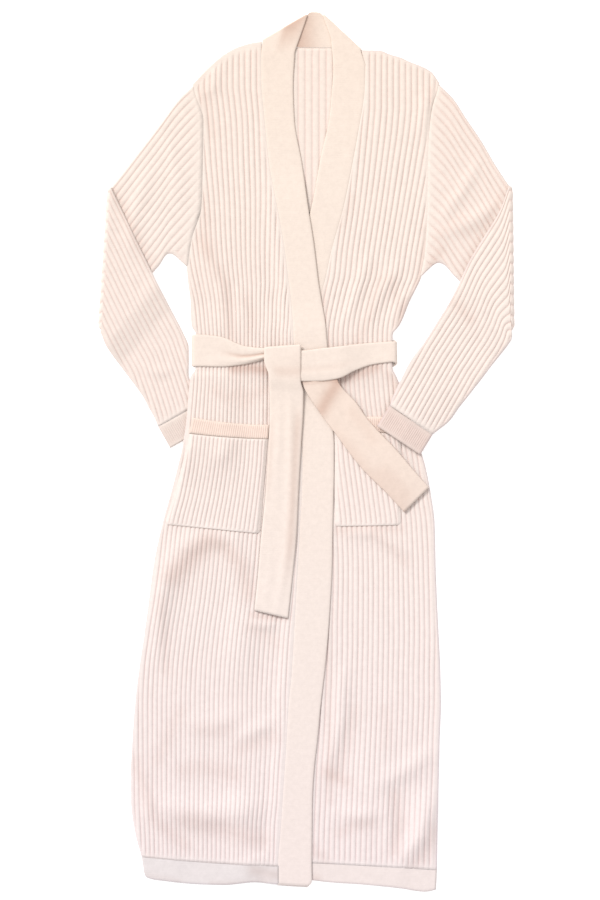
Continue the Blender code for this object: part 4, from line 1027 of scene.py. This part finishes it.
def make_hems(right, left):
    a, b = RIGHT_COURSES[0], LEFT_COURSES[0]
    r, l = right.row(a.y_mid), left.row(b.y_mid)
    low, high = RIGHT_HEM_EDGE[0][0], LEFT_HEM_EDGE[-1][0]
    for name, row, edge_ends, edge, under, flat in (
            ("right_hem", r, (low, r.high), RIGHT_HEM_EDGE, right_front_under, (0.205, 0.03)),
            ("left_hem", l, (l.low, high), LEFT_HEM_EDGE, left_front_under, (0.192, 0.029))):
        hem_strip(name, (row.low, row.high), edge_ends, row.height, smooth(edge), under,
                  HEM_KNIT, flat, ["back_hem_cloth"])
    whole = smooth(RIGHT_HEM_EDGE + LEFT_HEM_EDGE)
    hem_strip("back_hem", (a.side, b.side), (low, high),
              lambda x: a.y_side + (b.y_side - a.y_side) * (x - a.side) / (b.side - a.side),
              lambda x: whole(x) + BACK_HEM_SHORTER, lambda x, y: 0 * x, KNIT, (0.442, 0.032),
              ["floor"])


def make_pocket(side, front, front_under, edges):
    """A ribbed patch and the finely ribbed band along its mouth."""
    foot_y, seam_y, mouth_y = (front.courses[k].y_mid
                               for k in (POCKET_FOOT, POCKET_TOP_FOOT, POCKET_MOUTH))
    mouth, foot = (edges[end][1] - edges[end][0] for end in ("mouth", "foot"))

    def cut(y_mid):
        """A row of the front, cut to the pocket's side edges and rounded lower corners."""
        row = front.row(y_mid)
        share = min(1.0, max(0.0, (y_mid - foot_y) / (mouth_y - foot_y)))
        low, high = (f + (m - f) * share for m, f in zip(edges["mouth"], edges["foot"]))
        up = max(0.0, POCKET_CORNER - (y_mid - foot_y))
        inset = POCKET_CORNER - math.sqrt(max(0.0, POCKET_CORNER ** 2 - up ** 2))
        return row._replace(low=low + inset, high=high - inset)

    def under(x, y):
        return front_under(x, y) + CREST

    top_y = seam_y - SEAM / 2
    heights = np.concatenate((foot_y + np.array(POCKET_STEPS),
                              np.linspace(foot_y + 8, top_y - 4, POCKET_ROWS),
                              top_y - np.array(SEAM_STEPS)))
    rows = [cut(y) for y in heights]
    low, high = rows[0].height, rows[-1].height

    def sink(x, y, edge):
        near = np.minimum(y - low(x), high(x) - y)
        sides = 0.8 * (1 - ease(edge / 7))
        return 1 - rounded(near + 0.15, 3.0) * (1 - sides)

    def rib(x, y):
        return ease((y - low(x) - 1.5) / 3) * ease((high(x) - y - 0.5) / 2)
    skin = panel(rows, under, sink, rib, edge_height=POCKET_EDGE)
    skin.make(side + "_pocket", ((mouth + foot) / 2 * MM, (seam_y - foot_y) * MM), "laid",
              [side + "_front_cloth"], tone=RIB_TONE)

    skin = Skin()
    outer, inner = [], []
    ribs = round(mouth / FINE_PITCH)
    fine = len(FINE_POINTS)
    for y_mid in np.linspace(seam_y + SEAM / 2, mouth_y, POCKET_TOP_ROWS):
        row = cut(y_mid)
        t = np.linspace(0, 1, ribs * fine + 1)
        x = row.low + (row.high - row.low) * t
        y = row.height(x)
        depth = np.minimum(mouth_y - y_mid, y_mid - seam_y)
        edge = np.minimum(np.minimum(x - row.low, row.high - x), depth + 0.2)
        groove = (0.5 - 0.5 * np.cos(2 * np.pi * ribs * t)) * ease(edge / 2.0)
        z = under(x, y) + TOP_CURL * ease(1 - (mouth_y - y_mid) / TOP_CURL_LENGTH)
        top = KNIT + FINE_RIB - groove * FINE_DEPTH
        height = POCKET_EDGE + (top - POCKET_EDGE) * rounded(edge, 2.2)
        outer.append(skin.row(t, x, y, z + height, groove))
        inner.append(skin.row(t[::fine], x[::fine], y[::fine], z[::fine]))
    skin.close(outer, inner)
    skin.make(side + "_pocket_top", (mouth * MM, (mouth_y - seam_y) * MM), "laid",
              [side + "_front_cloth"], tone=POCKET_TOP_TONE, stitch=FINE_STITCH)


class Station:
    """A sleeve's cross-section: a line from its top edge to its underarm edge."""

    def __init__(self, place, width, ribs, middle, front_up, back_up, turn=None):
        self.place = place          # share across -> x, y
        self.width = width
        self.grain, self.pitch = ribs   # the first rib and the rib spacing, as shares across
        self.middle = middle        # share across -> height between the two walls
        self.front_up = front_up    # 1 where the front wall faces up
        self.back_up = back_up
        self.turn = turn

    def put(self, t, h):
        """Points at shares across, h above the middle."""
        x, y = self.place(t)
        if self.turn is None:
            return x, y, self.middle(t) + h
        angle, outward = self.turn
        radius = SLEEVE_TURN - h
        swing = radius * math.sin(angle) * rounded(np.minimum(t, 1 - t) * self.width, TURN_END)
        return (x + outward[0] * swing, y + outward[1] * swing,
                FLAT + SLEEVE_TURN - radius * math.cos(angle))


def straight(r):
    return lambda t: (r[0] + (r[2] - r[0]) * t, r[1] + (r[3] - r[1]) * t)


def flat_station(r, ribs, front_up, place=None):
    """A section at a ring's width and heights."""
    return Station(place or straight(r), width_of(r), ribs,
                   lambda t: np.interp(t, [0, 0.5, 1], r[4:7]), front_up, 1.0 - front_up)


def width_of(r):
    return math.hypot(r[2] - r[0], r[3] - r[1])


def sleeve_stations(armhole, upper, elbow, forearm, cuff_end):
    """All cross-sections of a sleeve, shoulder to cuff seam."""
    fold_top, fold_low = elbow
    inward = 1 if armhole[0][0] < 0 else -1
    arm = unit(fold_top[0] - armhole[0][0], fold_top[1] - armhole[0][1])
    arm_across = (-arm[1] * inward, arm[0] * inward)
    hole = np.array(armhole).T
    u = np.linspace(0, 1, PLACE_POINTS)
    reach = (hole[1][0] - hole[1]) / (hole[1][0] - hole[1][-1])
    off = [np.interp(u, reach, c) - (c[0] + (c[-1] - c[0]) * u) for c in hole]
    fold = ring(*fold_top, *fold_low)
    table = sampled([ring(*armhole[0], *armhole[-1]), *upper, fold], COURSE_STEP, 2, False)
    found = []
    for k, r in enumerate(table):
        curve = max(0.0, 1 - k * COURSE_STEP / SLEEVE_SEAM)
        x = r[0] + (r[2] - r[0]) * u + off[0] * curve
        y = r[1] + (r[3] - r[1]) * u + off[1] * curve
        across = (x - x[0]) * arm_across[0] + (y - y[0]) * arm_across[1]
        across = np.maximum.accumulate(across / across[-1])

        def place(t, x=x, y=y, across=across):
            return np.interp(t, across, x), np.interp(t, across, y)
        ribs = (0.0, SLEEVE_PITCH / reach_across(r, arm_across))
        found.append(flat_station(r, ribs, 1.0, place))
    crease = unit(fold_low[0] - fold_top[0], fold_low[1] - fold_top[1])
    outward = (crease[1] * inward, -crease[0] * inward)
    down = unit(forearm[2].top_x - fold_top[0], forearm[2].top_y - fold_top[1])
    down_across = (down[1] * inward, -down[0] * inward)
    before = SLEEVE_PITCH / reach_across(fold, arm_across)
    after = FOREARM_PITCH / reach_across(fold, down_across)
    for step in range(1, TURN_STEPS):
        up = 1 - step / TURN_STEPS
        turn = (math.pi * step / TURN_STEPS, outward)
        ribs = (0.0, after + (before - after) * up)
        found.append(Station(straight(fold), width_of(fold), ribs, None, up, 1 - up, turn))
    start, end = forearm[FULL_RING][:2], cuff_end[:2]
    for r in sampled([ring(*fold_top, *fold_low, FOLDED), *forearm], COURSE_STEP, 2, False):
        grain = first_rib(r, start, end) if r[1] < start[1] else 0.0
        ribs = (grain, FOREARM_PITCH / reach_across(r, down_across))
        found.append(flat_station(r, ribs, 0.0))
    return found


def reach_across(r, across):
    """Width of a ring at right angles to the sleeve's length."""
    return abs((r[2] - r[0]) * across[0] + (r[3] - r[1]) * across[1])


def first_rib(r, start, end):
    """The share across a ring where the sleeve's own edge lies, in part under the body."""
    along_x, along_y = end[0] - start[0], end[1] - start[1]
    size = (r[2] - r[0]) * along_y - (r[3] - r[1]) * along_x
    return ((start[0] - r[0]) * along_y - (start[1] - r[1]) * along_x) / size


def tube(stations, extra, depth, relief, flip_after, end_rim=0.0, rib_points=RIB_POINTS,
         shade=lambda x, y: 0 * x, rim_shade_share=1.0):
    """A flattened tube with open ends: two ribbed outer sides, and two plain inner sides.

    depth is that of the ribs on the upper arm and on the forearm, where they face up.
    """
    skin = Skin()
    outer, inner = ([], []), ([], [])
    across = []          # of each section's outer points
    half = KNIT + GAP / 2
    last = len(stations) - 1
    for index, s in enumerate(stations):
        keys, d = columns(0.0, s.width, s.grain * s.width, s.pitch * s.width, 3.0, TUBE_EDGE,
                          rib_points)
        t = d / s.width
        across.append(t.tolist())
        near = np.minimum(d, s.width - d)
        full = rounded(near, TUBE_ROUND)
        x_mid, y_mid, _ = s.put(t, 0.0 * t)
        rise = relief(x_mid, y_mid) * full
        from_end = min(index, last - index) * COURSE_STEP
        strength = ease((near - 1.0) / 4) * float(ease((from_end - 2.0) / 10))
        phase = (t - s.grain) / s.pitch
        groove = (1 - rib_shape(phase + 0.05 * drift(phase * 1.7, index / 6))) * strength
        at_rim = from_end < 3.5 and index > last / 2
        shares = np.linspace(0, 1, INNER_POINTS)
        inset = (SLEEVE_INSET + (s.width - 2 * SLEEVE_INSET) * shares) / s.width
        sign = 1 if index < flip_after else -1
        for wall, sign, up in ((0, sign, s.front_up), (1, -sign, s.back_up)):
            flat = s.turn is None
            deep = BACK_DEPTH + (depth[wall] - BACK_DEPTH) * up
            top = half + extra * up * (0.4 + 0.6 * strength) - groove * deep
            top = top + (up * end_rim if at_rim else 0)
            x, y, z = s.put(t, sign * (SLEEVE_EDGE + (top - SLEEVE_EDGE) * full))
            z = z + (rise if up == 1.0 and flat else 0.0)
            dark = shade(x, y) * up if flat else 0.0
            # Each outer row carries the painted shade of the creases and the painted edge shade along
            # both edges.
            outer[wall].append(skin.row(keys, x, y, z, groove, dark,
                                        rim_shade_share * (1 - ease(near / RIM))))
            x, y, z = s.put(inset, sign * GAP / 2)
            if up == 1.0 and flat:
                z = z + relief(x, y) * rounded(np.minimum(inset, 1 - inset) * s.width, TUBE_ROUND)
            inner[wall].append(skin.row(shares, x, y, z))
    skin.stack(*outer, *inner)
    skin.close_sides(*outer)
    skin.close_sides(*inner)
    for end in (0, -1):
        for wall in (0, 1):
            skin.cap((across[end], outer[wall][end][1]), inner[wall][end])
        for at_last in (False, True):
            skin.wall([stack[end] for stack in (outer[0], inner[0], inner[1], outer[1])], at_last)
    return skin


def make_sleeve(side, front, upper, elbow, forearm, cuff_end, table, flat):
    """A sleeve and the cuff at its end."""
    outward = -1 if side == "right" else 1
    top_y, low_y = front.courses[-1].y_mid, front.courses[UNDERARM].y_mid
    armhole = [(float(front.curves["side"](y)) - outward * ARMHOLE_TUCK,
                float(front.curves["y_side"](y)))
               for y in np.linspace(top_y, low_y, ARMHOLE_POINTS)]
    armhole = [(armhole[0][0], ARMHOLE_TOP[side])] + armhole
    stations = sleeve_stations(armhole, upper, elbow, forearm, cuff_end)
    turns = [k for k, s in enumerate(stations) if s.turn is not None]
    (ax, ay), (bx, by) = elbow[0], forearm[3][:2]
    size = math.hypot(bx - ax, by - ay)

    def shade(x, y):
        """Darker on the upper arm, next to the forearm's inner edge, and in the creases."""
        off = -outward * ((x - ax) * (ay - by) - (y - ay) * (ax - bx)) / size
        down = ((x - ax) * (bx - ax) + (y - ay) * (by - ay)) / size / size
        near = hump(np.maximum(off, 0), 9) * (off > 0)
        edge = 0.18 * near * ease(down / 0.15) * ease((1.1 - down) / 0.6)
        return np.maximum(edge, creases(SLEEVE_CREASES, x, y))
    skin = tube(stations, RIB, SLEEVE_DEPTH[side], lambda x, y: folds(table, x, y),
                turns[-1] + 1, shade=shade, rim_shade_share=RIM_SHADE_SHARE[side])
    rests = ["floor", "left_front_cloth"] if side == "left" else ["floor"]
    skin.make(side + "_sleeve", flat, "folded", rests, tone=RIB_TONE)

    last = forearm[-1]
    along = unit(cuff_end.top_x - last.top_x, cuff_end.top_y - last.top_y)
    shift = [SEAM * v for v in (*along, *along, 0, 0, 0)]
    start = [a + b for a, b in zip(last, shift)]
    found = []
    for share in np.linspace(0, 1, CUFF_SECTIONS):
        r = [a + (b - a) * share for a, b in zip(start, cuff_end)]
        found.append(flat_station(r, (0.0, FINE_PITCH / width_of(r)), 0.0))
    skin = tube(found, FINE_RIB, (FINE_DEPTH, FINE_DEPTH), lambda x, y: 0 * x, 0,
                end_rim=CUFF_RIM, rib_points=FINE_POINTS, rim_shade_share=RIM_SHADE_SHARE[side])
    skin.make(side + "_cuff", (0.152, 0.041), "laid", rests[-1:], tone=CUFF_TONES[side],
              stitch=FINE_STITCH)


def belt_turn(x, direction, edges, low_edges):
    """The belt's way round a side edge, from the front down to the surface."""
    radius = BELT_UNDER / 2
    rows = []
    for k in range(ROLL_STEPS + 1):
        line = [(x, y + (low - y) * k / ROLL_STEPS) for y, low in zip(edges, low_edges)]
        angle = math.pi * (1 - k / ROLL_STEPS)
        rows.append(turned(line, (direction, 0), radius, HALF_BAND + radius, angle))
    return rows


def belt_rows(sections):
    """Sections of a strip from rows of two edges, x and y each, and both undersides."""
    rows = [(xa, ya, za + BAND, xb, yb, zb + BAND) for xa, ya, xb, yb, za, zb in sections]
    return [(*row, 0, 0, -1) for row in sampled(rows, BELT_STEP)]


def stretch_rows(table):
    return belt_rows([(s.x, s.y_top, s.x, s.y_bottom, s.under, s.under) for s in table])


def make_belt():
    """The belt: behind the back, round both sides, to the knot, and its two ends."""
    left_x, right_x = BELT_TURN_X

    def line(x):
        return 0.5 + 0.05 * np.sin(x / 20)

    def pleats(share, t, x, y):
        return ease((x + 150) / 70) * (2.6 * hump(t - 0.78, 0.16) - 0.8 * hump(t - line(x), 0.06)
                                       + 1.0 * hump(t - 0.25, 0.2))

    def pleat_shade(share, t, x, y):
        return 0.5 * ease((x + 135) / 50) * hump(t - line(x), 0.09)
    first = BELT_RIGHT_STRETCH[0]
    rows = stretch_rows(BELT_RIGHT_STRETCH[::-1])
    rows += belt_turn(left_x, -1, (first.y_top, first.y_bottom), BELT_BACK[0])
    ribbon(rows, relief=pleats, across=21, shade=pleat_shade).make(
        "belt_right_stretch", (0.05, 0.145), "folded", ["right_front_cloth"], area=0.0052)

    def soft(share, t, x, y):
        near = 1 - ease((x - 30) / 60)
        return near * 0.9 * hump(t - 0.8, 0.12) + 0.3 * drift(x / 25, t * 4)

    def left_shade(share, t, x, y):
        return hump(x + 29, 8) * 0.3 + 0.10 * hump(t - 0.62, 0.12) * (1 - ease((x - 40) / 50))
    last = BELT_LEFT_STRETCH[-1]
    rows = stretch_rows(BELT_LEFT_STRETCH)
    rows += belt_turn(right_x, 1, (last.y_top, last.y_bottom), BELT_BACK[1])
    ribbon(rows, relief=soft, across=19, shade=left_shade).make(
        "belt_left_stretch", (0.05, 0.18), "folded", ["left_front_cloth"], area=0.0078)

    (top_a, low_a), (top_b, low_b) = BELT_BACK
    ends = [np.array((x, top, 0, x, low, 0, 0, 0, 1))
            for x, top, low in ((left_x + SEAM, top_a, low_a), (right_x - SEAM, top_b, low_b))]
    rows = [ends[0] + (ends[1] - ends[0]) * share
            for share in np.linspace(0, 1, BELT_BACK_SECTIONS)]
    ribbon(rows, thickness=BAND - 0.2).make(
        "belt_back_stretch", (0.046, 0.297), "laid", ["floor"])

    def hang(share, t, x, y):
        ridge = 1.4 * hump(t - 0.68 + 0.1 * np.sin(y / 70), 0.13)
        ridge = ridge + 1.1 * hump(t - 0.3, 0.14) * (0.5 + 0.5 * np.sin(y / 45 + 1))
        return ease((95 - y) / 40) * ridge * ease((y + 255) / 60) + 0.25 * drift(y / 30, t * 3)

    def hang_shade(share, t, x, y):
        """Darker down the right side of the hanging end, and at the foot of the wrap."""
        side = hump(t - 0.84, 0.13) * ease((75 - y) / 40) * ease((y + 215) / 90)
        wrap = hump(y - 120, 9) * ease((t - 0.05) / 0.3)
        left = hump(t - 0.06, 0.10) * ease((60 - y) / 40) * ease((y + 90) / 60)
        return 0.26 * side + 0.22 * wrap + 0.12 * left
    k = KNOT_ROLL
    edge = ((HANGING_END[0][0], k["y_a"]), (HANGING_END[0][2], k["y_b"]))
    rows = [turned(edge, (0, 1), k["radius"], k["centre"], math.pi * step / 16)
            for step in range(*k["steps"])]
    rows += belt_rows(HANGING_END)
    ribbon(rows, relief=hang, across=25, shade=hang_shade).make(
        "belt_hanging_end", (0.051, 0.415), "folded", ["front_band_cloth", "right_front_cloth"])

    def slant(share, t, x, y):
        twist = 1.6 * hump(t - 0.35 - share * 0.3, 0.12) * (1 - share)
        return twist + 0.8 * hump(t - 0.75, 0.15) * share

    def slant_shade(share, t, x, y):
        """Darker at the twist below the knot and along the lower left edge."""
        twist = creases(SLANT_CREASES, x, y)
        return twist + 0.18 * hump(t, 0.22) * ease((share - 0.25) / 0.3) + 0.5 * hump(share, 0.05)
    ribbon(belt_rows(SLANTED_END), relief=slant, across=21, shade=slant_shade).make(
        "belt_slanted_end", (0.054, 0.245), "laid", ["left_front_cloth", "left_pocket_cloth"],
        tone=SLANT_TONE)


def make_setting():
    """White surface, soft key light from the upper left, and the camera overhead."""
    scene = bpy.context.scene
    bpy.ops.mesh.primitive_plane_add(size=FLOOR_SIZE, location=(0, 0, -FLOOR_DROP))
    floor = bpy.context.object
    floor.name = "floor"
    paint = bpy.data.materials.new("floor")
    paint.use_nodes = True
    fill(paint.node_tree, paint.node_tree.nodes["Principled BSDF"], {
        "Base Color": (0.92, 0.92, 0.93, 1.0), "Roughness": 1.0, "Specular IOR Level": 0.0,
        "Emission Color": (1, 1, 1, 1), "Emission Strength": FLOOR_GLOW})
    floor.data.materials.append(paint)
    floor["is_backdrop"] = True

    world = bpy.data.worlds.new("world")
    world.use_nodes = True
    fill(world.node_tree, world.node_tree.nodes["Background"], {
        "Color": (1.0, 0.99, 0.99, 1.0), "Strength": WORLD_LIGHT})
    scene.world = world

    light = bpy.data.lights.new("key", "SUN")
    light.energy = KEY_LIGHT["energy"]
    light.angle = math.radians(KEY_LIGHT["spread"])
    light.color = (1.0, 0.985, 0.965)
    key = bpy.data.objects.new("key", light)
    key.rotation_euler = (math.radians(KEY_LIGHT["tilt_x"]), math.radians(KEY_LIGHT["tilt_y"]), 0)
    scene.collection.objects.link(key)

    camera = bpy.data.cameras.new("camera")
    camera.lens = CAMERA["lens"]
    camera.sensor_width = CAMERA["sensor"]
    camera.clip_end = CAMERA["clip"]
    eye = bpy.data.objects.new("camera", camera)
    eye.location = (CAMERA["x"] * MM, CAMERA["y"] * MM, CAMERA["distance"] * MM)
    scene.collection.objects.link(eye)
    scene.camera = eye
    scene.view_settings.view_transform = "Standard"
    scene.view_settings.look = "None"
    scene.view_settings.exposure = 0.0
    scene.view_settings.gamma = 1.0


def plain(box):
    return [[float(v) for v in corner] for corner in box]


def build():
    """The setting and all pieces, from the back up."""
    right = Front(RIGHT_COURSES, LAPPING_SEAM, RIGHT_SHOULDER, -1)
    left = Front(LEFT_COURSES, LAPPED_SEAM, LEFT_SHOULDER, 1)
    make_setting()
    make_back(right, left)
    make_fronts(right, left)
    make_hems(right, left)
    make_front_band()
    make_pocket("right", right, right_front_under, RIGHT_POCKET)
    make_pocket("left", left, left_front_under, LEFT_POCKET)
    make_sleeve("right", right, RIGHT_UPPER, RIGHT_ELBOW, RIGHT_FOREARM, RIGHT_CUFF_END,
                RIGHT_SLEEVE_FOLDS, (0.335, 0.43))
    make_sleeve("left", left, LEFT_UPPER, LEFT_ELBOW, LEFT_FOREARM, LEFT_CUFF_END,
                LEFT_SLEEVE_FOLDS, (0.345, 0.43))
    make_belt()


build()
{"solid": plain(SOLID_BOX), "shown": plain(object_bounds())}
